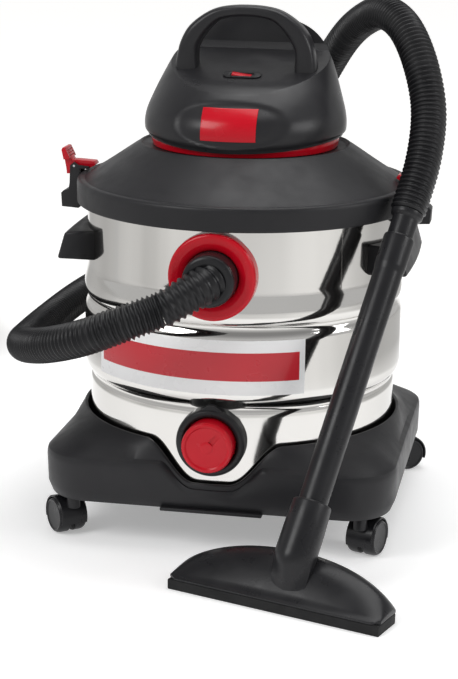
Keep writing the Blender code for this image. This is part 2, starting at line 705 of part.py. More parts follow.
# ---- motor and filter, hidden inside ------------------------------------------------------------
def make_motor(mats):
    plate = [(0.0200, 0.4219), (0.0960, 0.4219), (0.0960, 0.4244), (0.0200, 0.4244)]
    turned("motor_plate", plate, mats["zinc"])
    housing = turned(
        "fan_housing",
        [
            (0.0200, 0.4248), (0.0720, 0.4248), (0.0720, 0.4470), (0.0066, 0.4470),
            (0.0066, 0.4450), (0.0700, 0.4450), (0.0700, 0.4268), (0.0200, 0.4268),
        ],
        mats["zinc"], 28,
    )
    cut(housing, box("outlet", (-0.0300, 0.060, 0.4300), (0.0300, 0.080, 0.4420), None))
    impeller = turned(
        "fan_impeller",
        [
            (0.0043, 0.4290), (0.0110, 0.4290), (0.0130, 0.4400), (0.0640, 0.4400), (0.0640, 0.4420),
            (0.0043, 0.4420),
        ],
        mats["zinc"], 28,
    )
    blades = []
    for i in range(7):
        turn = Matrix.Rotation(2 * math.pi * i / 7, 4, "Z")
        blades.append(box("blade", (0.0180, -0.0008, 0.4300), (0.0620, 0.0008, 0.4404), None, turn))
    join(impeller, *blades)
    turned(
        "motor_stator",
        [
            (0.0290, 0.4475), (0.0425, 0.4475), (0.0425, 0.4850), (0.0300, 0.4905), (0.0109, 0.4905),
            (0.0109, 0.4862), (0.0290, 0.4835),
        ],
        mats["iron"], 28,
    )
    turned(
        "motor_rotor",
        [
            (0, 0.4275), (0.0040, 0.4275), (0.0040, 0.4560), (0.0280, 0.4560), (0.0280, 0.4770), (0.0100, 0.4785),
            (0.0100, 0.4830), (0.0040, 0.4835), (0.0040, 0.4900), (0, 0.4900),
        ],
        mats["iron"], 24,
    )
    upper = [(0.0043, 0.4866), (0.0106, 0.4866), (0.0106, 0.4898), (0.0043, 0.4898)]
    lower = [(0.0043, 0.4440), (0.0063, 0.4440), (0.0063, 0.4500), (0.0043, 0.4500)]
    turned("bearing_top", upper, mats["zinc"], 20)
    turned("bearing_bottom", lower, mats["zinc"], 20)


def make_filter(mats):
    cage = turned(
        "filter_cage",
        [
            (0, 0.2440), (0.0450, 0.2440), (0.0450, 0.4140), (0.0485, 0.4140), (0.0485, 0.4181), (0.0300, 0.4181),
            (0.0300, 0.4150), (0.0430, 0.4120), (0.0430, 0.2460), (0, 0.2460),
        ],
        mats["black"], 28,
    )
    windows = []
    for i in range(3):
        turn = Matrix.Rotation(math.pi * (i + 0.5) / 3, 4, "Z")
        windows.append(box("window", (-0.060, -0.0160, 0.2620), (0.060, 0.0160, 0.3980), None, turn))
    cut(cage, *windows)
    turned(
        "filter_float",
        [(0, 0.2470), (0.0200, 0.2470), (0.0270, 0.2540), (0.0270, 0.2800), (0.0200, 0.2870), (0, 0.2870)],
        mats["float"], 24,
    )
    pleats, low, high = 36, 0.2470, 0.4178
    rings = []
    for height, inner in ((low, False), (high, False), (high, True), (low, True)):
        ring = []
        for i in range(2 * pleats):
            a = math.pi * i / pleats
            radius = 0.0500 if inner else (0.0750 if i % 2 else 0.0690)
            ring.append((radius * math.cos(a), radius * math.sin(a), height))
        rings.append(ring)
    add("cartridge_filter", bridge_rings(rings, True), mats["paper"], smooth=20)
    turned(
        "filter_retainer",
        [
            (0, 0.2280), (0.0110, 0.2280), (0.0130, 0.2300), (0.0130, 0.2385), (0.0740, 0.2400), (0.0740, 0.2435),
            (0, 0.2435),
        ],
        mats["satin"], 32,
    )


# ---- hose, wand and nozzle ----------------------------------------------------------------------
def wand_frame():
    """Local Z up the wand's axis from its foot, local X level, to the nozzle's right."""
    lean = Matrix.Rotation(-WAND_HEADING, 4, "Z") @ Matrix.Rotation(-WAND_TILT, 4, "X")
    return Matrix.Translation(WAND_FOOT) @ lean


def smooth_route(points, before, after, spacing):
    """Points about this far apart on a smooth curve through the route's own points."""
    knots = [Vector(before), *map(Vector, points), Vector(after)]
    line = []
    for a, b, c, d in zip(knots, knots[1:], knots[2:], knots[3:]):
        steps = max(1, round((c - b).length / spacing))
        for i in range(steps):
            t = i / steps
            line.append(0.5 * (2 * b + (c - a) * t + (2 * a - 5 * b + 4 * c - d) * t**2
                               + (3 * b - a - 3 * c + d) * t**3))
    line.append(knots[-2])
    return line


def tube_mesh(name, line, radii, inner_radii, mat, sides=20):
    """An open pipe: outer rings there and inner rings back."""
    rings_out, rings_in = [], []
    for i, point in enumerate(line):
        ahead = (line[min(i + 1, len(line) - 1)] - line[max(i - 1, 0)]).normalized()
        across = ahead.cross(Vector((0, 0, 1))).normalized()
        other = across.cross(ahead)
        for rings, radius in ((rings_out, radii[i]), (rings_in, inner_radii[i])):
            ring = []
            for k in range(sides):
                a = 2 * math.pi * k / sides
                ring.append(point + across * radius * math.cos(a) + other * radius * math.sin(a))
            rings.append(ring)
    return add(name, bridge_rings([*rings_out, *reversed(rings_in)], True), mat)


def make_hose(mats):
    start, second = Vector(HOSE_ROUTE[0]), Vector(HOSE_ROUTE[1])
    leave = (second - start).normalized()
    back = start - leave * 0.0350
    wand_up = wand_frame().to_3x3() @ Vector((0, 0, 1))
    line = smooth_route(HOSE_ROUTE, back, Vector(HOSE_ROUTE[-1]) - wand_up * 0.05, 0.0220)
    curve = bpy.data.curves.new("hose_tube", "CURVE")
    curve.dimensions = "3D"
    curve.bevel_depth = HOSE_D / 2
    curve.bevel_resolution = 2
    curve.use_fill_caps = True
    spline = curve.splines.new("POLY")
    spline.points.add(len(line) - 1)
    for slot, point in zip(spline.points, line):
        slot.co = (*point, 1)
    curve.materials.append(mats["satin"])
    hose = bpy.data.objects.new("hose_tube", curve)
    bpy.context.scene.collection.objects.link(hose)

    leave = (line[1] - line[0]).normalized()
    elbow = [
        Vector((0, -0.1500, INLET_Z)),
        Vector((0, -0.2035, INLET_Z)),
        Vector((0.0000, -0.2075, INLET_Z - 0.0005)),
        Vector((-0.0055, -0.2120, INLET_Z - 0.0040)),
        Vector((-0.0180, -0.2195, INLET_Z - 0.0115)),
        line[0] - leave * 0.0120,
        line[0] - leave * GAP,
    ]
    radii = [0.0281, 0.0281, 0.0268, 0.0240, 0.0225, 0.0218, 0.0212]
    bores = [0.0240, 0.0230, 0.0215, 0.0200, 0.0190, 0.0180, 0.0170]
    tube_mesh("hose_connector", elbow, radii, bores, mats["satin"], 20)


def make_wand(mats):
    place = wand_frame()
    turned(
        "hose_cuff",
        [
            (0.0120, 0.3720), (0.0138, 0.3720), (0.0138, 0.4200), (0.0170, 0.4225), (0.0170, CUFF_HIGH),
            (0.0120, CUFF_HIGH),
        ],
        mats["satin"], 24, place,
    )
    turned(
        "wand_tube",
        [
            (0.0141, WAND_LOW), (WAND_R - 0.0003, WAND_LOW), (WAND_R - 0.0003, 0.3600), (WAND_R + 0.0008, 0.3660),
            (WAND_R + 0.0008, WAND_HIGH), (0.0141, WAND_HIGH),
        ],
        mats["satin"], 24, place,
    )


def nozzle_depth(s):
    """The nozzle's depth, front to back, at this share of its half width."""
    return 0.0400 + 0.0345 * (1 - s * s) ** 0.6


def nozzle_rings(inset, floor, roof_drop):
    """Cross sections of the nozzle along its width, in the nozzle's frame."""
    rings = []
    half = NOZZLE_HALF - inset
    for i in range(13):
        s = math.sin(math.pi / 2 * (2 * i / 12 - 1))
        hump = 0.0020 + 0.0345 * (1 - s * s) ** 0.65
        lip = 0.0140 - roof_drop
        depth = nozzle_depth(s) - inset
        rings.append([
            (s * half, inset, floor),
            (s * half, inset, lip),
            (s * half, 0.24 * depth, lip + 0.45 * hump),
            (s * half, 0.48 * depth, lip + 0.86 * hump),
            (s * half, 0.66 * depth, lip + hump),
            (s * half, 0.84 * depth, lip + 0.68 * hump),
            (s * half, depth, lip),
            (s * half, depth, floor),
        ])
    return rings


def nozzle_plan(inset):
    """The nozzle's outline seen from above, moved in by inset."""
    shares = [math.sin(math.pi / 2 * (1 - 2 * i / 12)) for i in range(13)]
    back = [(s * (NOZZLE_HALF - inset), nozzle_depth(s) - inset) for s in shares]
    return [(inset - NOZZLE_HALF, inset), (NOZZLE_HALF - inset, inset)] + back


def make_nozzle(mats):
    place = Matrix.Translation((NOZZLE_X, NOZZLE_Y, 0)) @ Matrix.Rotation(-NOZZLE_TURN, 4, "Z")
    body = add("floor_nozzle", bridge_rings(nozzle_rings(0, 0.0115, 0), False), mats["satin"], place, 45)
    wand = wand_frame()
    sleeve = [(0, 0.0150), (0.0225, 0.0150), (0.0205, SOCKET_HIGH), (0, SOCKET_HIGH)]
    socket = turned("socket", sleeve, None, 24, wand)
    join(body, socket)
    hollow = add("hollow", bridge_rings(nozzle_rings(0.0040, 0.0050, 0.0030), False), None, place)
    bore = turned("bore", [(0, 0.0130), (0.0162, 0.0130), (0.0162, 0.12), (0, 0.12)], None, 24, wand)
    cut(body, hollow, bore)
    strip = prism("nozzle_strip", nozzle_plan(0), 0, 0.0111, mats["rubber"], place)
    cut(strip, prism("mouth", nozzle_plan(0.0050), -0.01, 0.02, None, place))


# ---- start --------------------------------------------------------------------------------------
def main():
    clear_scene()
    mats = make_materials()
    make_tank(mats)
    make_tank_handle("left", math.pi, mats)
    make_tank_handle("right", 0.0, mats)
    make_inlet(mats)
    make_drain(mats)
    make_label(mats)
    make_dolly(mats)
    make_casters(mats)
    make_lid(mats)
    make_latch("left", math.pi, mats)
    make_latch("right", 0.0, mats)
    make_head(mats)
    make_motor(mats)
    make_filter(mats)
    make_hose(mats)
    make_wand(mats)
    make_nozzle(mats)


main()
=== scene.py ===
"""The shop vacuum's looks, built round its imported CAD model. Metres, +Z up, the front faces -Y."""

import json
import math

import bmesh
import bpy
from mathutils import Matrix, Vector


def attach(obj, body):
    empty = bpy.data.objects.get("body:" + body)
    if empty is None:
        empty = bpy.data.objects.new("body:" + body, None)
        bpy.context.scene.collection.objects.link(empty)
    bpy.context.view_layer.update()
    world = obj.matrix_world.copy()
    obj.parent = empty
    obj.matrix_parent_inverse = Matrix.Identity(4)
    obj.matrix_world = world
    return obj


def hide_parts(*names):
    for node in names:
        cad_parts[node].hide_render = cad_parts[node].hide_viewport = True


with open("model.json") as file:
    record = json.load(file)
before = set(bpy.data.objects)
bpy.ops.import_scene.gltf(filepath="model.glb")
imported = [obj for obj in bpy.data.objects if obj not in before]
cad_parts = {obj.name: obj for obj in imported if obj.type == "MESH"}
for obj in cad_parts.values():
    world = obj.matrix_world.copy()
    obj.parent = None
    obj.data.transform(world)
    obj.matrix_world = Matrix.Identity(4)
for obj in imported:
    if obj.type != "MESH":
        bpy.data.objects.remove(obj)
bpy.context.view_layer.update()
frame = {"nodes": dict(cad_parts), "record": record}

# ---- sizes shared with the CAD model ------------------------------------------------------------
INLET_Z = 0.3095
DRAIN_Z = 0.1285
TANK_UPPER_R = 0.1764
STEM_X, STEM_Y = 0.1600, 0.1550
AXLE_Z, CASTER_TRAIL = 0.0200, 0.0180
CASTERS = (  # name, side in X, side in Y, the way the wheels trail in degrees from +X
    ("front_left", -1, -1, 131), ("front_right", 1, -1, 72), ("rear_left", -1, 1, 100),
    ("rear_right", 1, 1, 30),
)
DOLLY_CORNER_X, DOLLY_CORNER_Y, DOLLY_CORNER_R = 0.1400, 0.1265, 0.0550
WAND_HEADING, WAND_TILT = math.radians(21.5), math.radians(35)
WAND_FOOT = Vector((0.1028, -0.3155, 0.0200))
NOZZLE_PLACE = Matrix.Translation((0.0900, -0.3233, 0)) @ Matrix.Rotation(math.radians(-18.5), 4, "Z")
NOZZLE_HALF = 0.1203
HOSE_ROUTE = (
    (-0.0440, -0.2325, 0.2830), (-0.0800, -0.2440, 0.2700), (-0.1250, -0.2400, 0.2510),
    (-0.1740, -0.2050, 0.2310), (-0.2170, -0.1420, 0.2130), (-0.2310, -0.0700, 0.2040),
    (-0.2310, 0.0080, 0.2040), (-0.2170, 0.0830, 0.2130), (-0.1860, 0.1480, 0.2290),
    (-0.1380, 0.2000, 0.2560), (-0.0800, 0.2360, 0.2930), (-0.0200, 0.2520, 0.3500),
    (0.0250, 0.2480, 0.4170), (0.0560, 0.2270, 0.4780), (0.0850, 0.1930, 0.5230),
    (0.1140, 0.1460, 0.5500), (0.1420, 0.0940, 0.5620), (0.1700, 0.0440, 0.5500),
    (0.1920, 0.0060, 0.5150), (0.2050, -0.0230, 0.4690), (0.2040, -0.0550, 0.4200),
    (0.1925, -0.0877, 0.3698),
)


# ---- materials ----------------------------------------------------------------------------------
class Paint:
    """A node material on a Principled shader, with textures in the object's own metres."""

    def __init__(self, name, roughness, metallic=0.0, **sockets):
        self.mat = bpy.data.materials.new(name)
        self.mat.use_nodes = True
        self.tree = self.mat.node_tree
        self.shader = self.tree.nodes["Principled BSDF"]
        self.shader.inputs["Roughness"].default_value = roughness
        self.shader.inputs["Metallic"].default_value = metallic
        for key, value in sockets.items():
            self.shader.inputs[key.replace("_", " ")].default_value = value
        self.height = None

    def add(self, kind, **values):
        node = self.tree.nodes.new(kind)
        for key, value in values.items():
            if hasattr(node, key):
                setattr(node, key, value)
            else:
                node.inputs[key.replace("_", " ")].default_value = value
        return node

    def link(self, out, socket):
        self.tree.links.new(out, socket)

    def noise(self, scale, detail=3.0, stretch=(1, 1, 1), rough=0.55):
        """A noise in metres: scale is lumps in one metre."""
        where = self.add("ShaderNodeTexCoord")
        fit = self.add("ShaderNodeMapping")
        fit.inputs["Scale"].default_value = stretch
        self.link(where.outputs["Object"], fit.inputs["Vector"])
        made = self.add("ShaderNodeTexNoise", Scale=scale, Detail=detail, Roughness=rough)
        self.link(fit.outputs["Vector"], made.inputs["Vector"])
        return made.outputs["Fac"]

    def ramp(self, fac, low, high, from_low=0.3, from_high=0.7):
        made = self.add("ShaderNodeMapRange")
        for name, value in (
            ("From Min", from_low), ("From Max", from_high), ("To Min", low), ("To Max", high),
        ):
            made.inputs[name].default_value = value
        self.link(fac, made.inputs["Value"])
        return made.outputs["Result"]

    def colours(self, dark, light, scale, stretch=(1, 1, 1)):
        made = self.add("ShaderNodeValToRGB")
        made.color_ramp.elements[0].position = 0.30
        made.color_ramp.elements[0].color = (*dark, 1)
        made.color_ramp.elements[1].position = 0.72
        made.color_ramp.elements[1].color = (*light, 1)
        self.link(self.noise(scale, 4.0, stretch), made.inputs["Fac"])
        self.link(made.outputs["Color"], self.shader.inputs["Base Color"])
        return self

    def gloss(self, low, high, scale, stretch=(1, 1, 1)):
        self.link(self.ramp(self.noise(scale, 5.0, stretch), low, high), self.shader.inputs["Roughness"])
        return self

    def bump(self, scale, depth, strength=0.5, detail=2.0, stretch=(1, 1, 1)):
        """Adds a layer of relief, this deep in metres."""
        made = self.add("ShaderNodeBump", Strength=strength, Distance=depth)
        self.link(self.noise(scale, detail, stretch), made.inputs["Height"])
        if self.height is not None:
            self.link(self.height, made.inputs["Normal"])
        self.height = made.outputs["Normal"]
        self.link(self.height, self.shader.inputs["Normal"])
        return self


def make_paints():
    steel = Paint("polished_steel", 0.08, 1.0).colours(
        (0.62, 0.605, 0.58), (0.69, 0.68, 0.66), 3, (1, 1, 0.25),
    )
    steel.gloss(0.045, 0.12, 22, (1, 1, 0.3)).bump(5, 0.0012, 0.25, 1.0).bump(
        900, 0.00002, 0.25, 2.0, (1, 1, 0.04),
    )
    weld = Paint("weld_steel", 0.25, 1.0).colours(
        (0.30, 0.29, 0.28), (0.42, 0.41, 0.40), 60,
    ).bump(900, 0.0001, 0.4)
    charcoal = Paint("charcoal_plastic", 0.45, 0.0, Specular_IOR_Level=0.28)
    charcoal.colours((0.0135, 0.0133, 0.0150), (0.0190, 0.0188, 0.0208), 14)
    charcoal.gloss(0.36, 0.50, 40).bump(1500, 0.00018, 0.30, 2.0).bump(35, 0.0003, 0.10)
    cover = Paint("cover_plastic", 0.35, 0.0, Specular_IOR_Level=0.30)
    cover.colours((0.0130, 0.0128, 0.0145), (0.0190, 0.0188, 0.0208), 12)
    cover.gloss(0.27, 0.40, 30).bump(1700, 0.00012, 0.25, 2.0).bump(25, 0.0003, 0.08)
    satin = Paint("satin_black_plastic", 0.28, 0.0, Specular_IOR_Level=0.28)
    satin.colours((0.0100, 0.0100, 0.0115), (0.0155, 0.0155, 0.0172), 20)
    satin.gloss(0.24, 0.38, 45).bump(900, 0.00006, 0.25).bump(30, 0.0003, 0.10)
    hose = Paint("hose_plastic", 0.36, 0.0, Specular_IOR_Level=0.32)
    hose.colours((0.0060, 0.0060, 0.0072), (0.0120, 0.0120, 0.0135), 30)
    hose.gloss(0.27, 0.46, 60).bump(700, 0.00008, 0.30)
    red = Paint("red_plastic", 0.2, 0.0, Coat_Weight=0.10, Coat_Roughness=0.10, Specular_IOR_Level=0.25)
    red.colours((0.47, 0.0018, 0.010), (0.56, 0.0030, 0.016), 10).gloss(0.18, 0.30, 35).bump(25, 0.0004, 0.12)
    red.bump(1200, 0.00003, 0.3)
    rubber = Paint("black_rubber", 0.7, 0.0, Specular_IOR_Level=0.3)
    rubber.colours((0.0060, 0.0060, 0.0065), (0.0120, 0.0120, 0.0125), 60)
    rubber.gloss(0.60, 0.80, 50).bump(1100, 0.0002, 0.5)
    film = Paint("white_film", 0.3, 0.0, Coat_Weight=0.3, Coat_Roughness=0.1)
    film.colours((0.80, 0.80, 0.81), (0.86, 0.86, 0.86), 8).gloss(0.24, 0.34, 25).bump(15, 0.0004, 0.1)
    stripe = Paint("red_film", 0.3, 0.0, Coat_Weight=0.3, Coat_Roughness=0.1)
    stripe.colours((0.46, 0.006, 0.016), (0.54, 0.010, 0.022), 8).gloss(0.24, 0.34, 25)
    zinc = Paint("zinc_steel", 0.35, 1.0).colours((0.48, 0.48, 0.50), (0.62, 0.62, 0.64), 45)
    zinc.gloss(0.25, 0.45, 80).bump(600, 0.00004, 0.3)
    alloy = Paint("alloy", 0.3, 1.0).colours((0.66, 0.66, 0.67), (0.78, 0.78, 0.79), 40).gloss(0.22, 0.4, 90)
    alloy.bump(500, 0.00004, 0.3)
    iron = Paint("lamination_iron", 0.5, 1.0).colours((0.13, 0.12, 0.12), (0.24, 0.23, 0.22), 60)
    iron.bump(900, 0.00015, 0.5, 1.0, (0.05, 0.05, 1))
    paper = Paint("filter_paper", 0.9).colours(
        (0.66, 0.61, 0.50), (0.80, 0.76, 0.66), 50,
    ).bump(1400, 0.00015, 0.5)
    cell = Paint("float_plastic", 0.5).colours(
        (0.66, 0.66, 0.64), (0.76, 0.76, 0.74), 25,
    ).bump(700, 0.0001, 0.3)
    return {
        "polished_steel": steel, "weld_steel": weld, "charcoal_plastic": charcoal, "cover_plastic": cover,
        "satin_black_plastic": satin, "hose_plastic": hose, "red_plastic": red, "black_rubber": rubber,
        "white_film": film, "red_film": stripe, "zinc_steel": zinc, "alloy": alloy, "lamination_iron": iron,
        "filter_paper": paper, "float_plastic": cell,
    }


PAINTS = {name: paint.mat for name, paint in make_paints().items()}


# ---- shape helpers ------------------------------------------------------------------------------
def new_object(name, bm, place=None, smooth=40):
    bmesh.ops.remove_doubles(bm, verts=bm.verts, dist=1e-6)
    bmesh.ops.recalc_face_normals(bm, faces=bm.faces)
    mesh = bpy.data.meshes.new(name)
    bm.to_mesh(mesh)
    bm.free()
    mesh.shade_smooth()
    mesh.set_sharp_from_angle(angle=math.radians(smooth))
    obj = bpy.data.objects.new(name, mesh)
    bpy.context.scene.collection.objects.link(obj)
    if place is not None:
        obj.matrix_world = place
    return obj


def piece(obj, body, slot, replaced=(), paint=None):
    """Gives the object its material and its body, and hides the CAD nodes that it stands for."""
    obj.data.materials.clear()
    obj.data.materials.append(PAINTS[paint or slot])
    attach(obj, body)
    if replaced:
        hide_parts(*replaced)
    return obj


def bridged(rings, closed_loop, caps=True):
    """A bmesh through rings of equally many points. A ring of one point is a pole."""
    bm = bmesh.new()
    made = [[bm.verts.new(p) for p in ring] for ring in rings]
    pairs = list(zip(made, made[1:]))
    if closed_loop:
        pairs.append((made[-1], made[0]))
    for low, high in pairs:
        count = max(len(low), len(high))
        for i in range(count):
            j = (i + 1) % count
            corners = [low[i % len(low)], low[j % len(low)], high[j % len(high)], high[i % len(high)]]
            face = list(dict.fromkeys(corners))
            if len(face) > 2:
                bm.faces.new(face)
    if caps and not closed_loop:
        for ring in (made[0], made[-1]):
            if len(ring) > 2:
                bm.faces.new(ring)
    return bm


def filleted(profile, radius, steps=5, support=0.0):
    """The same outline with its corners rounded. Support adds a point this far outside each fillet's ends."""
    points = [Vector(p) for p in profile]
    out = [points[0]]
    for before, corner, after in zip(points, points[1:], points[2:]):
        near = min(radius, (before - corner).length * 0.45)
        far = min(radius, (after - corner).length * 0.45)
        back, on = (before - corner).normalized(), (after - corner).normalized()
        start, end = corner + back * near, corner + on * far
        if support:
            out.append(start + back * min(support, (before - corner).length * 0.03))
        for i in range(steps + 1):
            t = i / steps
            out.append(start.lerp(corner, t).lerp(corner.lerp(end, t), t))
        if support:
            out.append(end + on * min(support, (after - corner).length * 0.03))
    out.append(points[-1])
    return [tuple(p) for p in out]


def turned(name, profile, place=None, segments=128, smooth=40, fillet=0.0, closed=None):
    """A (radius, height) outline turned round local Z. Points on the axis become poles."""
    if fillet:
        profile = filleted(profile, fillet)
    rings = []
    for radius, height in profile:
        if radius < 1e-6:
            rings.append([(0, 0, height)])
            continue
        steps = [2 * math.pi * i / segments for i in range(segments)]
        rings.append([(radius * math.cos(a), radius * math.sin(a), height) for a in steps])
    on_axis = profile[0][0] < 1e-6 and profile[-1][0] < 1e-6
    return new_object(name, bridged(rings, not on_axis if closed is None else closed), place, smooth)


def prism(name, outline, low, high, place=None, smooth=40):
    rings = [[(x, y, z) for x, y in outline] for z in (low, high)]
    return new_object(name, bridged(rings, False), place, smooth)


def box(name, low, high, place=None):
    outline = [(low[0], low[1]), (high[0], low[1]), (high[0], high[1]), (low[0], high[1])]
    return prism(name, outline, low[2], high[2], place)


def baked(obj):
    """The object with its modifiers applied and its place kept."""
    graph = bpy.context.evaluated_depsgraph_get()
    mesh = bpy.data.meshes.new_from_object(obj.evaluated_get(graph))
    obj.modifiers.clear()
    obj.data = mesh
    return obj


def combine(obj, operation, others):
    for other in others:
        step = obj.modifiers.new(operation.title(), "BOOLEAN")
        step.operation = operation
        step.solver = "EXACT"
        step.object = other
    baked(obj)
    for other in others:
        bpy.data.objects.remove(other, do_unlink=True)
    return obj


def cut(obj, *cutters):
    return combine(obj, "DIFFERENCE", cutters)


def rounded(obj, width, segments=3, angle=30):
    step = obj.modifiers.new("Bevel", "BEVEL")
    step.width = width
    step.segments = segments
    step.limit_method = "ANGLE"
    step.angle_limit = math.radians(angle)
    step.use_clamp_overlap = True
    baked(obj)
    obj.data.shade_smooth()
    obj.data.set_sharp_from_angle(angle=math.radians(45))
    return obj


def softened(node, width, segments=3, angle=35):
    """A copy of a flat-faced CAD node's mesh, its triangles merged and its edges rounded."""
    bm = bmesh.new()
    bm.from_mesh(frame["nodes"][node].data)
    bmesh.ops.remove_doubles(bm, verts=bm.verts, dist=1e-6)
    bmesh.ops.dissolve_limit(bm, angle_limit=math.radians(2), verts=bm.verts, edges=bm.edges)
    return rounded(new_object(f"{node}_look", bm), width, segments, angle)


def outward(angle, height=0.0):
    return Matrix.Translation((0, 0, height)) @ Matrix.Rotation(angle, 4, "Z")


def facing_front(height):
    return Matrix.Translation((0, 0, height)) @ Matrix.Rotation(math.radians(90), 4, "X")


def smooth_route(points, before, after, spacing):
    knots = [Vector(before), *map(Vector, points), Vector(after)]
    line = []
    for a, b, c, d in zip(knots, knots[1:], knots[2:], knots[3:]):
        steps = max(1, round((c - b).length / spacing))
        for i in range(steps):
            t = i / steps
            line.append(0.5 * (2 * b + (c - a) * t + (2 * a - 5 * b + 4 * c - d) * t**2
                               + (3 * b - a - 3 * c + d) * t**3))
    line.append(knots[-2])
    return line


def spaced(line, count):
    """This many points at equal steps along a line of points."""
    lengths = [0.0]
    for a, b in zip(line, line[1:]):
        lengths.append(lengths[-1] + (b - a).length)
    out, k = [], 0
    for i in range(count):
        want = lengths[-1] * i / (count - 1)
        while k < len(line) - 2 and lengths[k + 1] < want:
            k += 1
        span = lengths[k + 1] - lengths[k]
        out.append(line[k].lerp(line[k + 1], (want - lengths[k]) / span))
    return out


def tube(name, line, radii, sides=40, smooth=60):
    """A closed tube along a line, with a radius at each point. Its frame is carried along without twist."""
    rings = []
    across = None
    for i, point in enumerate(line):
        ahead = (line[min(i + 1, len(line) - 1)] - line[max(i - 1, 0)]).normalized()
        if across is None:
            across = ahead.orthogonal()
        across = (across - ahead * across.dot(ahead)).normalized()
        other = ahead.cross(across)
        ring = []
        for k in range(sides):
            a = 2 * math.pi * k / sides
            ring.append(point + (across * math.cos(a) + other * math.sin(a)) * radii[i])
        rings.append(ring)
    return new_object(name, bridged(rings, False), None, smooth)


# ---- camera -------------------------------------------------------------------------------------
def make_camera():
    azimuth, distance, height = math.radians(10.3), 2.110, 0.760
    made = bpy.data.cameras.new("camera")
    made.sensor_width = 36
    made.lens = 36 * 1900 / 679
    made.clip_end = 100
    camera = bpy.data.objects.new("camera", made)
    turn = Matrix.Rotation(azimuth + math.radians(0.427), 4, "Z")
    tip = Matrix.Rotation(math.pi / 2 - 0.262, 4, "X")
    roll = Matrix.Rotation(0.012, 4, "Z")
    place = Matrix.Translation((distance * math.sin(azimuth), -distance * math.cos(azimuth), height))
    camera.matrix_world = place @ turn @ tip @ roll
    bpy.context.scene.collection.objects.link(camera)
    bpy.context.scene.camera = camera


# ---- hose, wand and nozzle ----------------------------------------------------------------------
RIB = (0.0168, 0.0170, 0.0176, 0.0190, 0.0195, 0.0193, 0.0181, 0.0171)  # one rib's radii along the hose
HOSE_RIBS = 262


def wand_frame():
    lean = Matrix.Rotation(-WAND_HEADING, 4, "Z") @ Matrix.Rotation(-WAND_TILT, 4, "X")
    return Matrix.Translation(WAND_FOOT) @ lean


def make_hose():
    start, second = Vector(HOSE_ROUTE[0]), Vector(HOSE_ROUTE[1])
    leave = (second - start).normalized()
    wand_up = wand_frame().to_3x3() @ Vector((0, 0, 1))
    line = smooth_route(HOSE_ROUTE, start - leave * 0.0350, Vector(HOSE_ROUTE[-1]) - wand_up * 0.05, 0.004)
    path = spaced(line, HOSE_RIBS * len(RIB) + 1)
    radii = [RIB[i % len(RIB)] for i in range(len(path))]
    hose = tube("corrugated_hose", path, radii)
    piece(hose, "tank", "satin_black_plastic", ["hose_tube"], "hose_plastic")
    return hose, path


def make_connector(hose_start, hose_next):
    """The black plug in the red ring. Its neck is ribbed like the hose."""
    front = facing_front(INLET_Z)
    collar = turned(
        "hose_plug",
        [
            (0.0150, 0.1500), (0.0281, 0.1500), (0.0281, 0.1890), (0.0283, 0.1900), (0.0281, 0.2040),
            (0.0270, 0.2080), (0.0240, 0.2095), (0.0190, 0.2095), (0.0150, 0.2080),
        ],
        front, 96, fillet=0.0012,
    )
    piece(collar, "tank", "satin_black_plastic", ["hose_connector"])
    leave = (hose_next - hose_start).normalized()
    knots = [
        Vector((0.0030, -0.1980, INLET_Z + 0.0010)), Vector((-0.0050, -0.2100, INLET_Z - 0.0040)),
        Vector((-0.0180, -0.2195, INLET_Z - 0.0115)), Vector((-0.0310, -0.2270, INLET_Z - 0.0192)),
        hose_start - leave * 0.0002,
    ]
    line = smooth_route(knots, Vector((0.008, -0.188, INLET_Z + 0.003)), hose_start + leave * 0.02, 0.001)
    path = spaced(line, 9 * len(RIB) + 1)
    radii = [0.0012 * (1 - i / len(path)) + RIB[i % len(RIB)] for i in range(len(path))]
    piece(tube("ribbed_neck", path, radii), "tank", "satin_black_plastic", (), "hose_plastic")


def make_wand():
    place = wand_frame()
    cuff = turned(
        "cuff",
        [
            (0.0120, 0.3720), (0.0139, 0.3720), (0.0141, 0.4180), (0.0172, 0.4212), (0.0176, 0.4262),
            (0.0120, 0.4265),
        ],
        place, 72, fillet=0.0012,
    )
    piece(cuff, "tank", "satin_black_plastic", ["hose_cuff"])
    wand = turned(
        "wand",
        [
            (0.0141, 0.0720), (0.0155, 0.0720), (0.0156, 0.3560), (0.0166, 0.3620), (0.0167, 0.3950),
            (0.0158, 0.3967), (0.0145, 0.3967),
        ],
        place, 72, fillet=0.0010,
    )
    piece(wand, "tank", "satin_black_plastic", ["wand_tube"])


def nozzle_depth(s):
    """The nozzle's depth, front to back, at this share of its half width."""
    return 0.0400 + 0.0345 * max(0.0, 1 - s * s) ** 0.6


def nozzle_section(s):
    """The nozzle's outline across its depth, at s from -1 to 1 along its width."""
    hump = 0.0020 + 0.0345 * max(0.0, 1 - s * s) ** 0.65
    lip = 0.0140
    depth = nozzle_depth(s)
    chamfer = 0.0060 * max(0.0, abs(s) - 0.93) / 0.07
    shape = (  # share of the depth, share of the hump
        (0.025, 0.00), (0.05, 0.02), (0.12, 0.19), (0.24, 0.45), (0.36, 0.68), (0.48, 0.86), (0.58, 0.96),
        (0.66, 1.00), (0.75, 0.93), (0.84, 0.70), (0.92, 0.40), (0.975, 0.08),
    )
    rows = [(chamfer, 0.0116), (chamfer, lip - 0.0010)]
    rows += [(max(chamfer, share * depth), lip + rise * hump) for share, rise in shape]
    rows += [(depth, lip - 0.0010), (depth, 0.0116)]
    return [(s * NOZZLE_HALF, y, z) for y, z in rows]


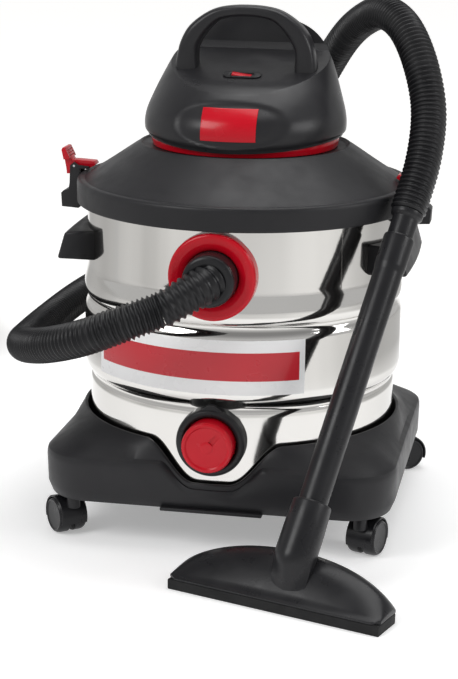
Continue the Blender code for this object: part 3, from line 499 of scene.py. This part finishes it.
def make_nozzle():
    shares = [math.sin(math.pi / 2 * (i / 40 - 1)) for i in range(81)]
    body = new_object("nozzle_body", bridged([nozzle_section(s) for s in shares], False), NOZZLE_PLACE, 50)
    inner = [(s * (NOZZLE_HALF - 0.0050), nozzle_depth(s) - 0.0050) for s in reversed(shares)]
    mouth = [(0.0050 - NOZZLE_HALF, 0.0062), (NOZZLE_HALF - 0.0050, 0.0062), *inner]
    cut(body, prism("mouth", mouth, 0.0, 0.0128, NOZZLE_PLACE))
    piece(rounded(body, 0.0016, 3, 40), "tank", "satin_black_plastic", ["floor_nozzle"])
    wand = wand_frame()
    across, up_slope = wand.to_3x3() @ Vector((1, 0, 0)), wand.to_3x3() @ Vector((0, 1, 0))
    axis = wand.to_3x3() @ Vector((0, 0, 1))
    ahead = Vector((axis.x, axis.y, 0)).normalized()
    rings = []
    for z, web in (
        (0.0160, 1.0), (0.0240, 0.95), (0.0320, 0.80), (0.0400, 0.55), (0.0480, 0.25), (0.0560, 0.06),
        (0.0620, 0.0),
    ):
        middle = WAND_FOOT + axis * ((z - WAND_FOOT.z) / axis.z)
        wide = 0.0218
        long = wide / axis.z
        front = min(long, 0.0262 + 0.7 * (z - 0.0560))
        ring = []
        for k in range(72):
            a = 2 * math.pi * k / 72
            x, y = wide * math.cos(a), long * math.sin(a)
            if y < 0:
                pointed = -front * (1 - abs(math.cos(a)) ** 1.15)
                y = (1 - web) * front * math.sin(a) + web * pointed
            ring.append(middle + across * x + ahead * y)
        rings.append(ring)
    for height, wide in (
        (0.0720, 0.0214), (0.0930, 0.0206), (0.0948, 0.0203), (0.0954, 0.0196), (0.0953, 0.0164),
        (0.0800, 0.0161),
    ):
        turn = [2 * math.pi * k / 72 for k in range(72)]
        rings.append([
            WAND_FOOT + axis * height + across * wide * math.cos(a) + up_slope * wide * math.sin(a)
            for a in turn
        ])
    piece(new_object("nozzle_socket", bridged(rings, False), None, 50), "tank", "satin_black_plastic")
    piece(softened("nozzle_strip", 0.0012), "tank", "black_rubber", ["nozzle_strip"])


# ---- tank ---------------------------------------------------------------------------------------
def make_tank():
    wall = [
        (0.1670, 0.0600), (0.1737, 0.0680), (0.1737, 0.1580), (0.1714, 0.1640), (0.1790, 0.1740),
        (0.1800, 0.1800), (0.1800, 0.2430), (0.1742, 0.2520), (0.1794, 0.2595), (0.1805, 0.2680),
        (0.1787, 0.2780), (0.1764, 0.2880), (0.1764, 0.3600), (0.1800, 0.3635), (0.1800, 0.3695),
        (0.1766, 0.3700), (0.1749, 0.3690), (0.1749, 0.3600), (0.1749, 0.2880), (0.1790, 0.2680),
        (0.1727, 0.2520), (0.1785, 0.2430), (0.1785, 0.1800), (0.1699, 0.1640), (0.1722, 0.1580),
        (0.1722, 0.0690), (0.1660, 0.0615),
    ]
    rounded_wall = filleted(wall, 0.0042, 6, 0.0006)
    shell = turned("steel_tank", [(0, 0.0600), *rounded_wall, (0, 0.0615)], None, 256, 60)
    piece(shell, "tank", "polished_steel", ["tank_shell"])
    seam = box(
        "weld_seam", (TANK_UPPER_R - 0.0004, -0.0006, 0.2890), (TANK_UPPER_R + 0.00012, 0.0006, 0.3590),
        outward(math.radians(-43.5)),
    )
    piece(seam, "tank", "polished_steel", (), "weld_steel")


def make_tank_handle(side, angle):
    """A slanting block with rounded edges, hollow from below."""
    steps = 24

    def ring_of(half, inset, heights):
        rows = []
        for i in range(steps + 1):
            y = half * (2 * i / steps - 1)
            bow = 0.0030 * (1 - (y / half) ** 2) - inset
            corners = zip((0.1400, 0.1945 + bow, 0.1855 + bow, 0.1400), heights)
            rows.append([(x, y, z) for x, z in corners])
        return rows

    shape = ring_of(0.0900, 0, (0.2985, 0.2985, 0.3290, 0.3330))
    body = new_object(f"handle_{side}", bridged(shape, False), outward(angle), 30)
    rounded(body, 0.0034, 5)
    inside = ring_of(0.0870, 0.0026, (0.2900, 0.2900, 0.3262, 0.3300))
    hollow = new_object("hollow", bridged(inside, False), outward(angle))
    cut(
        hollow,
        turned("wall", [(0, 0.25), (TANK_UPPER_R + 0.0026, 0.25), (TANK_UPPER_R + 0.0026, 0.40), (0, 0.40)]),
    )
    cut(
        body, hollow,
        turned("wall", [(0, 0.25), (TANK_UPPER_R, 0.25), (TANK_UPPER_R, 0.40), (0, 0.40)], None, 256),
    )
    piece(body, "tank", "charcoal_plastic", [f"tank_handle_{side}"])


def make_inlet():
    ring = turned(
        "inlet_ring",
        [
            (0.0284, 0.1650), (0.0470, 0.1650), (0.0470, 0.1845), (0.0464, 0.1872), (0.0445, 0.1888),
            (0.0420, 0.1891), (0.0360, 0.1886), (0.0320, 0.1872), (0.0296, 0.1858), (0.0284, 0.1840),
        ],
        facing_front(INLET_Z), 128, fillet=0.0012,
    )
    piece(ring, "tank", "red_plastic", ["inlet_flange"])


def make_drain():
    front = facing_front(DRAIN_Z)
    surround = turned(
        "drain_ring",
        [
            (0.0200, 0.1600), (0.0375, 0.1600), (0.0375, 0.1850), (0.0362, 0.1886), (0.0335, 0.1895),
            (0.0305, 0.1892), (0.0291, 0.1880), (0.0289, 0.1770), (0.0200, 0.1766),
        ],
        front, 128, fillet=0.0012,
    )
    piece(surround, "tank", "satin_black_plastic", ["drain_spout"])
    corners = [(-0.0200, 0.0300), (0.0200, 0.0300), (0.0030, 0.0415), (-0.0030, 0.0415)]
    tab = rounded(prism("ring_tab", corners, 0.1785, 0.1870, front), 0.0008)
    piece(tab, "tank", "satin_black_plastic")
    cap = turned(
        "red_drain_cap",
        [
            (0, 0.1600), (0.0168, 0.1600), (0.0168, 0.1789), (0.0278, 0.1789), (0.0278, 0.2035),
            (0.0268, 0.2056), (0.0246, 0.2060), (0.0236, 0.2057), (0.0222, 0.2044), (0.0070, 0.2040),
            (0.0050, 0.2046), (0, 0.2047),
        ],
        front, 128, fillet=0.0007,
    )
    askew = front @ Matrix.Rotation(0.9, 4, "Z")
    cut(cap, box("coin_slot", (0.0060, -0.0030, 0.2026), (0.0170, 0.0030, 0.2100), askew))
    cap.data.shade_smooth()
    cap.data.set_sharp_from_angle(angle=math.radians(35))
    piece(cap, "drain_cap", "red_plastic", ["drain_cap"])


def make_label():
    """A plain white film with a plain red stripe."""
    start, end = math.radians(-49.3), math.radians(31.9)

    def film(name, low, high, trim, outer, inner, paint, replaced):
        rows = []
        steps = 72
        for i in range(steps + 1):
            a = start + trim + (end - start - 2 * trim) * i / steps - math.pi / 2
            corners = [(inner, low), (outer, low), (outer, high), (inner, high)]
            rows.append([(r * math.cos(a), r * math.sin(a), z) for r, z in corners])
        made = new_object(name, bridged(rows, False), None, 30)
        piece(made, "tank", "white_film", replaced, paint)

    film("white_label", 0.1810, 0.2410, 0.0, 0.18055, 0.1801, "white_film", ["front_label"])
    film("label_stripe", 0.1965, 0.2275, 0.035, 0.18070, 0.1805, "red_film", ())


# ---- dolly and casters --------------------------------------------------------------------------
def dolly_reach(angle, inset=0.0):
    near, far = 0.10, 0.30
    for _ in range(24):
        reach = (near + far) / 2
        past_x = max(reach * abs(math.cos(angle)) - DOLLY_CORNER_X, 0)
        past_y = max(reach * abs(math.sin(angle)) - DOLLY_CORNER_Y, 0)
        if math.hypot(past_x, past_y) < DOLLY_CORNER_R - inset:
            near = reach
        else:
            far = reach
    return near


def dolly_top(angle):
    from_front = abs(math.degrees(math.remainder(angle + math.pi / 2, 2 * math.pi)))
    if from_front < 6:
        return 0.0800
    if from_front < 25:
        return 0.0800 + 0.0430 * 0.5 * (1 - math.cos(math.pi * (from_front - 6) / 19))
    return 0.1230


def make_dolly():
    count = 288
    columns = []
    bowl, wall = 0.1777, 0.0035
    for i in range(count):
        a = 2 * math.pi * i / count
        top, reach = dolly_top(a), dolly_reach(a)
        foot = dolly_reach(a, 0.0060)
        crease_z = min(0.1010, top - 0.0060)
        crease = max(reach - 0.0060, bowl + wall + 0.0012)
        mid, mid_z = (bowl + wall + crease) / 2, (top + crease_z) / 2 + 0.0015
        side = max(reach - 0.0014, crease + 0.0002)
        column = [
            (bowl - 0.0010, 0.0600), (bowl, 0.0700), (bowl, top - 0.0008), (bowl + 0.0007, top),
            (bowl + wall - 0.0006, top), (bowl + wall, top - 0.0006), (mid, mid_z),
            (crease - 0.0006, crease_z + 0.0002), (crease + 0.0010, crease_z - 0.0006),
            (side, crease_z - 0.0032),
            (max(reach - 0.0003, side + 0.0001), crease_z - 0.0065),
            (reach, crease_z - 0.0110), (reach - 0.0010, 0.0600), (foot + 0.0008, 0.0492), (foot, 0.0482),
            (foot - 0.0010, 0.0480), (foot - 0.0028, 0.0482), (foot - 0.0034, 0.0500),
        ]
        if reach < 0.1880:
            column += [(0.1700, 0.0550), (0.1690, 0.0552), (0.1680, 0.0554)]
        elif reach < 0.1930:
            column += [(reach - 0.0055, 0.0552), (0.1820, 0.0554), (0.1810, 0.0556)]
        else:
            column += [(reach - 0.0047, 0.0600), (max(mid - wall, 0.1812), mid_z - 0.0042), (0.1808, 0.0556)]
        columns.append([(r * math.cos(a), r * math.sin(a), z) for r, z in column])
    rings = [list(ring) for ring in zip(*columns)]
    base = new_object("dolly", bridged([[(0, 0, 0.0598)], *rings, [(0, 0, 0.0556)]], False), None, 32)
    piece(base, "tank", "charcoal_plastic", ["dolly_base"])
    for name, side_x, side_y, _ in CASTERS:
        place = Matrix.Translation((STEM_X * side_x, STEM_Y * side_y, 0))
        boss = turned(
            f"stem_boss_{name}", [(0, 0.0535), (0.0100, 0.0535), (0.0100, 0.0960), (0, 0.0960)], place, 48,
            fillet=0.0010,
        )
        piece(boss, "tank", "charcoal_plastic")
    for side in (-1, 1):
        outline = [(-0.0045, -0.0016), (0.0045, -0.0016), (0.0045, 0.0016), (-0.0045, 0.0016)]
        place = Matrix.Translation((side * 0.1640, -0.1560, 0.1010)) @ Matrix.Rotation(0.16, 4, "X")
        slot = rounded(
            prism(f"corner_slot_{'left' if side < 0 else 'right'}", outline, -0.0040, 0.0016, place),
            0.0006,
        )
        piece(slot, "tank", "black_rubber")
    step = box("front_step", (-0.0560, -0.1822, 0.0462), (0.0560, -0.1700, 0.0500))
    piece(rounded(step, 0.0010), "tank", "charcoal_plastic")


def make_casters():
    axle = Matrix.Translation((CASTER_TRAIL, 0, AXLE_Z)) @ Matrix.Rotation(math.radians(90), 4, "X")
    hood = turned(
        "hood_mesh",
        [
            (0.0040, -0.0020), (0.0206, -0.0020), (0.0206, -0.0150), (0.0218, -0.0154), (0.0225, -0.0146),
            (0.0225, 0.0146), (0.0218, 0.0154), (0.0206, 0.0150), (0.0206, 0.0020), (0.0040, 0.0020),
        ],
        axle, 96,
    )
    neck = turned(
        "neck", [(0, 0.0330), (0.0078, 0.0330), (0.0070, 0.0500), (0.0066, 0.0530), (0, 0.0530)], None, 48,
        fillet=0.0008,
    )
    combine(hood, "UNION", [neck])
    rooms = [
        turned(
            "room", [(0, s * 0.0021), (0.0205, s * 0.0021), (0.0205, s * 0.0160), (0, s * 0.0160)], axle,
            96,
        )
        for s in (-1, 1)
    ]
    below = box("below", (-0.030, -0.030, -0.010), (0.050, 0.030, AXLE_Z - 0.0065))
    cut(hood, *rooms, below)
    hood.data.shade_smooth()
    hood.data.set_sharp_from_angle(angle=math.radians(35))
    rim = [
        (0.0191, 0.0026), (0.0200, 0.0036), (0.0200, 0.0118), (0.0194, 0.0142), (0.0184, 0.0158),
        (0.0173, 0.0165), (0.0161, 0.0163), (0.0154, 0.0156), (0.0100, 0.0153),
    ]
    inner = turned(
        "inner_mesh", [(0, -0.0120), (0.0035, -0.0120), (0.0035, 0.0026), *rim, (0, 0.0152)], axle, 96,
    )
    outer_place = axle @ Matrix.Rotation(math.pi, 4, "X")
    outer = turned(
        "outer_mesh", [(0, 0.0125), (0.0039, 0.0125), (0.0039, 0.0026), *rim, (0, 0.0152)], outer_place, 96,
    )
    for name, side_x, side_y, trail in CASTERS:
        turn = Matrix.Rotation(math.radians(trail), 4, "Z")
        place = Matrix.Translation((STEM_X * side_x, STEM_Y * side_y, 0)) @ turn
        for kind, source, body in (
            ("hood", hood, f"caster_{name}"), ("wheel_inner", inner, f"wheels_{name}"),
            ("wheel_outer", outer, f"wheels_{name}"),
        ):
            made = bpy.data.objects.new(f"{kind}_{name}", source.data.copy())
            made.matrix_world = place @ source.matrix_world
            bpy.context.scene.collection.objects.link(made)
            piece(made, body, "satin_black_plastic", [f"caster_{kind}_{name}"])
    for source in (hood, inner, outer):
        bpy.data.objects.remove(source, do_unlink=True)


# ---- lid, latches and head ----------------------------------------------------------------------
def make_lid():
    outline = [
        (0.1855, 0.3580), (0.1875, 0.3580), (0.1883, 0.3590), (0.1883, 0.3786), (0.1878, 0.3815),
        (0.1862, 0.3834), (0.1836, 0.3841), (0.1810, 0.3836), (0.1796, 0.3834), (0.1780, 0.3846),
        (0.1700, 0.3894), (0.1600, 0.3956), (0.1490, 0.4028), (0.1360, 0.4116), (0.1250, 0.4190),
        (0.1195, 0.4224), (0.1178, 0.4238), (0.1162, 0.4240), (0.1150, 0.4233), (0.1142, 0.4220),
        (0.1120, 0.4215), (0.0400, 0.4215), (0.0400, 0.4185), (0.1165, 0.4185), (0.1790, 0.3805),
        (0.1855, 0.3785),
    ]
    lid = turned("cone_lid", filleted(outline, 0.0010, 3), None, 192, 45)
    piece(lid, "head", "charcoal_plastic", ["lid_shell"])
    ring = turned(
        "red_trim",
        [
            (0.0990, 0.4219), (0.1035, 0.4219), (0.1046, 0.4280), (0.1048, 0.4360), (0.1035, 0.4390),
            (0.0990, 0.4390),
        ],
        None, 160, fillet=0.0010,
    )
    piece(ring, "head", "red_plastic", ["trim_ring"])


def make_latches():
    for side in ("left", "right"):
        piece(
            softened(f"latch_bracket_{side}", 0.0009), "head", "charcoal_plastic",
            [f"latch_bracket_{side}"],
        )
        piece(
            softened(f"latch_lever_{side}", 0.0007), f"latch_{side}", "red_plastic",
            [f"latch_lever_{side}"],
        )


HEAD_SECTIONS = (  # height, half width, half depth, middle's Y
    (0.4285, 0.1085, 0.1085, 0.0000), (0.4360, 0.1115, 0.1115, 0.0000), (0.4480, 0.1125, 0.1125, 0.0005),
    (0.4600, 0.1107, 0.1105, 0.0030), (0.4720, 0.1068, 0.1055, 0.0090), (0.4850, 0.1020, 0.0975, 0.0170),
    (0.5000, 0.0960, 0.0865, 0.0280), (0.5150, 0.0890, 0.0760, 0.0380), (0.5300, 0.0795, 0.0640, 0.0480),
    (0.5430, 0.0660, 0.0500, 0.0550), (0.5520, 0.0480, 0.0360, 0.0590), (0.5570, 0.0250, 0.0190, 0.0600),
)


def dish_depth(x, z):
    """How far the front of the head is sunk in here: an oval with a soft edge."""
    inside = 1 - (abs(x) / 0.0650) ** 2.4 - (abs(z - 0.4560) / 0.0245) ** 2.4
    t = min(1.0, max(0.0, inside / 0.40))
    return 0.0024 * t * t * (3 - 2 * t)


def head_solid(name, inset, lift, bottom):
    """The head's outer shape on a smooth curve through its sections, moved in by inset."""
    levels = [Vector(s) for s in HEAD_SECTIONS]
    fine = []
    for a, b, c, d in zip([levels[0], *levels], levels, levels[1:], [*levels[2:], levels[-1]]):
        for i in range(6):
            t = i / 6
            fine.append(0.5 * (2 * b + (c - a) * t + (2 * a - 5 * b + 4 * c - d) * t**2
                               + (3 * b - a - 3 * c + d) * t**3))
    fine.append(levels[-1])
    rings = []
    for k, (height, half_x, half_y, middle) in enumerate(fine):
        z = height - inset if k else bottom
        ring = []
        for i in range(288):
            a = 2 * math.pi * i / 288
            rise = lift * math.cos(a) ** 2 * max(0.0, 1 - (height - 0.4285) / 0.012)
            x, y = (half_x - inset) * math.cos(a), (half_y - inset) * math.sin(a)
            if y < 0:
                y += dish_depth(x, height)
            ring.append((x, middle + y, z + rise))
        rings.append(ring)
    rings.append([(0, HEAD_SECTIONS[-1][3], 0.5580 - inset)])
    return new_object(name, bridged(rings, False), None, 50)


def deck_outline(drop):
    return [
        (-0.200, 0.4790 - 0.0950 * 0.27 - drop), (-0.105, 0.4790 - drop), (0.0540 + drop, 0.5215 - drop),
        (0.0600 + drop, 0.5290 - drop), (0.0680 + drop, 0.700), (-0.200, 0.700),
    ]


def make_head():
    side_view = Matrix(((0, 0, 1, 0), (1, 0, 0, 0), (0, 1, 0, 0), (0, 0, 0, 1)))
    cover = head_solid("head_cover", 0.0, 0.0080, 0.4268)
    cut(cover, prism("deck", deck_outline(0.0), -0.13, 0.13, side_view))
    rounded(cover, 0.0026, 4, 28)
    hollow = head_solid("hollow", 0.0040, 0.0, 0.4200)
    cut(hollow, prism("deck", deck_outline(0.0045), -0.13, 0.13, side_view))
    grille_hole = box("grille_hole", (-0.0360, 0.085, 0.4500), (0.0360, 0.125, 0.4740))
    cut(cover, hollow, grille_hole)
    cover.data.shade_smooth()
    cover.data.set_sharp_from_angle(angle=math.radians(40))
    piece(cover, "head", "charcoal_plastic", ["motor_cover"], "cover_plastic")
    badge = box("red_plate", (-0.0300, -0.1300, 0.4400), (0.0300, -0.0900, 0.4735))
    skin = head_solid("skin", -0.0008, 0.0, 0.4200)
    cut(skin, head_solid("under", 0.0010, 0.0, 0.4100))
    combine(badge, "INTERSECT", [skin])
    piece(rounded(badge, 0.0003, 2, 40), "head", "red_plastic", ["front_badge"])
    piece(softened("exhaust_grille", 0.0004), "head", "satin_black_plastic", ["exhaust_grille"])
    piece(softened("switch_bezel", 0.0005), "head", "satin_black_plastic", ["switch_bezel"])
    piece(softened("switch_rocker", 0.0006), "rocker", "red_plastic", ["switch_rocker"])
    gland = turned(
        "gland",
        [(0.0035, 0.0880), (0.0076, 0.0880), (0.0076, 0.1060), (0.0060, 0.1160), (0.0035, 0.1160)],
        Matrix.Translation((0.0560, 0, 0.4520)) @ Matrix.Rotation(math.radians(-90), 4, "X"), 48,
        fillet=0.0006,
    )
    piece(gland, "head", "black_rubber", ["cord_gland"])


def make_carry_handle():
    half = [  # across, height, half thickness
        (0.0670, 0.4930, 0.0132), (0.0668, 0.5080, 0.0126), (0.0660, 0.5190, 0.0114),
        (0.0640, 0.5300, 0.0106), (0.0570, 0.5435, 0.0103), (0.0455, 0.5555, 0.0086),
        (0.0330, 0.5638, 0.0070), (0.0170, 0.5675, 0.0064),
    ]
    knots = [Vector((-x, z, t)) for x, z, t in half] + [Vector((0, 0.5685, 0.0062))]
    knots += [Vector((x, z, t)) for x, z, t in reversed(half)]
    line = smooth_route(knots, knots[0], knots[-1], 0.0025)
    rings = []
    for i, point in enumerate(line):
        ahead = line[min(i + 1, len(line) - 1)] - line[max(i - 1, 0)]
        ahead = Vector((ahead.x, ahead.y)).normalized()
        deep = 0.0122 + 0.0032 * (abs(point.x) / 0.067) ** 2
        ring = []
        for k in range(40):
            a = 2 * math.pi * k / 40
            out = point.z * math.copysign(abs(math.cos(a)) ** 0.62, math.cos(a))
            y = deep * math.copysign(abs(math.sin(a)) ** 0.62, math.sin(a))
            ring.append((point.x - ahead.y * out, 0.0020 + y, point.y + ahead.x * out))
        rings.append(ring)
    handle = new_object("top_handle", bridged(rings, False), None, 60)
    piece(handle, "head", "charcoal_plastic", ["carry_handle"], "cover_plastic")


# ---- nodes that keep their CAD shape ------------------------------------------------------------
def paint_cad_nodes():
    slots = {row["node"]: row["material_slot"] for row in frame["record"]["subparts"]}
    for name, node in frame["nodes"].items():
        if not node.hide_render:
            node.data.materials.clear()
            node.data.materials.append(PAINTS[slots[name]])


# ---- studio -------------------------------------------------------------------------------------
def banded(tree, vector, whole, stops):
    """A ring of soft tones round the tank's axis: (degrees from +X, share of the whole tone)."""
    parts = tree.nodes.new("ShaderNodeSeparateXYZ")
    tree.links.new(vector, parts.inputs["Vector"])
    angle = tree.nodes.new("ShaderNodeMath")
    angle.operation = "ARCTAN2"
    tree.links.new(parts.outputs["Y"], angle.inputs[0])
    tree.links.new(parts.outputs["X"], angle.inputs[1])
    share = tree.nodes.new("ShaderNodeMapRange")
    share.inputs["From Min"].default_value = -math.pi
    share.inputs["From Max"].default_value = math.pi
    tree.links.new(angle.outputs["Value"], share.inputs["Value"])
    bands = tree.nodes.new("ShaderNodeValToRGB")
    bands.color_ramp.interpolation = "EASE"
    tree.links.new(share.outputs["Result"], bands.inputs["Fac"])
    ends = bands.color_ramp.elements
    for end in ends:
        end.color = (0.72 * whole, 0.72 * whole, 0.72 * whole, 1)
    for degrees, share_of in stops:
        stop = ends.new((degrees + 180) / 360)
        stop.color = (share_of * whole, share_of * whole * 0.995, share_of * whole * 0.985, 1)
    return bands.outputs["Color"]


FLOOR_TONE, BAND_TONE, FLOOR_GLOW = 0.90, 0.68, 0.34
FLOOR_BANDS = (  # degrees from +X, share of the floor's tone; these greys show only in the steel
    (-176, 0.80), (-167, 0.84), (-159, 0.80), (-151, 0.69), (-144, 0.71), (-137, 0.80), (-128, 0.88),
    (-80, 0.90), (-56, 0.98), (-43, 1.08), (-33, 1.07), (-24, 0.99), (-10, 0.86), (8, 0.72), (24, 0.60),
    (46, 0.66), (70, 0.66), (78, FLOOR_TONE / BAND_TONE), (122, FLOOR_TONE / BAND_TONE), (132, 0.62),
    (152, 0.70), (164, 0.66), (175, 0.71),
)


def make_floor():
    """Plain pale paper. Further out than the camera sees, soft grey bands stand for the studio's walls."""
    floor = box("floor", (-15, -15, -0.02), (15, 15, 0.0))
    paper = Paint("floor_paper", 0.9, 0.0, Specular_IOR_Level=0.2).bump(60, 0.0002, 0.1)
    where = paper.add("ShaderNodeTexCoord")
    far = paper.add("ShaderNodeVectorMath", operation="LENGTH")
    paper.link(where.outputs["Object"], far.inputs[0])
    mask = paper.ramp(far.outputs["Value"], 0.0, 1.0, 0.64, 0.84)
    mixed = paper.add("ShaderNodeMix", data_type="RGBA")
    paper.link(mask, mixed.inputs["Factor"])
    mixed.inputs[6].default_value = (FLOOR_TONE, FLOOR_TONE, FLOOR_TONE, 1)
    paper.link(banded(paper.tree, where.outputs["Object"], BAND_TONE, FLOOR_BANDS), mixed.inputs[7])
    paper.link(mixed.outputs[2], paper.shader.inputs["Base Color"])
    paper.link(mixed.outputs[2], paper.shader.inputs["Emission Color"])
    paper.link(
        paper.ramp(far.outputs["Value"], FLOOR_GLOW, 2.1 * FLOOR_GLOW, 1.0, 3.5),
        paper.shader.inputs["Emission Strength"],
    )
    floor.data.materials.append(paper.mat)


def make_studio():
    make_floor()
    world = bpy.data.worlds.new("studio")
    world.use_nodes = True
    tree = world.node_tree
    tree.nodes["Background"].inputs["Color"].default_value = (1, 1, 1, 1)
    where = tree.nodes.new("ShaderNodeTexCoord")
    parts = tree.nodes.new("ShaderNodeSeparateXYZ")
    tree.links.new(where.outputs["Generated"], parts.inputs["Vector"])
    fade = tree.nodes.new("ShaderNodeMapRange")
    for key, value in (("From Min", 0.20), ("From Max", 0.70), ("To Min", 0.62), ("To Max", 0.30)):
        fade.inputs[key].default_value = value
    tree.links.new(parts.outputs["Z"], fade.inputs["Value"])
    tree.links.new(fade.outputs["Result"], tree.nodes["Background"].inputs["Strength"])
    bpy.context.scene.world = world
    bpy.context.scene.view_settings.view_transform = "Standard"
    for name, spot, aim, size, power in (
        ("key", (-1.7, -2.0, 2.3), (0, 0, 0.3), 1.5, 42),
        ("top", (0.2, 0.5, 2.6), (0, 0, 0.3), 1.8, 32),
        ("side", (2.3, -0.4, 1.4), (0, 0, 0.3), 1.0, 18),
    ):
        data = bpy.data.lights.new(name, "AREA")
        data.size = size
        data.energy = power
        light = bpy.data.objects.new(name, data)
        facing = (Vector(aim) - Vector(spot)).to_track_quat("-Z", "Y").to_matrix().to_4x4()
        light.matrix_world = Matrix.Translation(spot) @ facing
        bpy.context.scene.collection.objects.link(light)


make_camera()
hose, hose_path = make_hose()
make_connector(hose_path[0], hose_path[8])
make_wand()
make_nozzle()
make_tank()
make_tank_handle("left", math.pi)
make_tank_handle("right", 0.0)
make_inlet()
make_drain()
make_label()
make_dolly()
make_casters()
make_lid()
make_latches()
make_head()
make_carry_handle()
paint_cad_nodes()
make_studio()
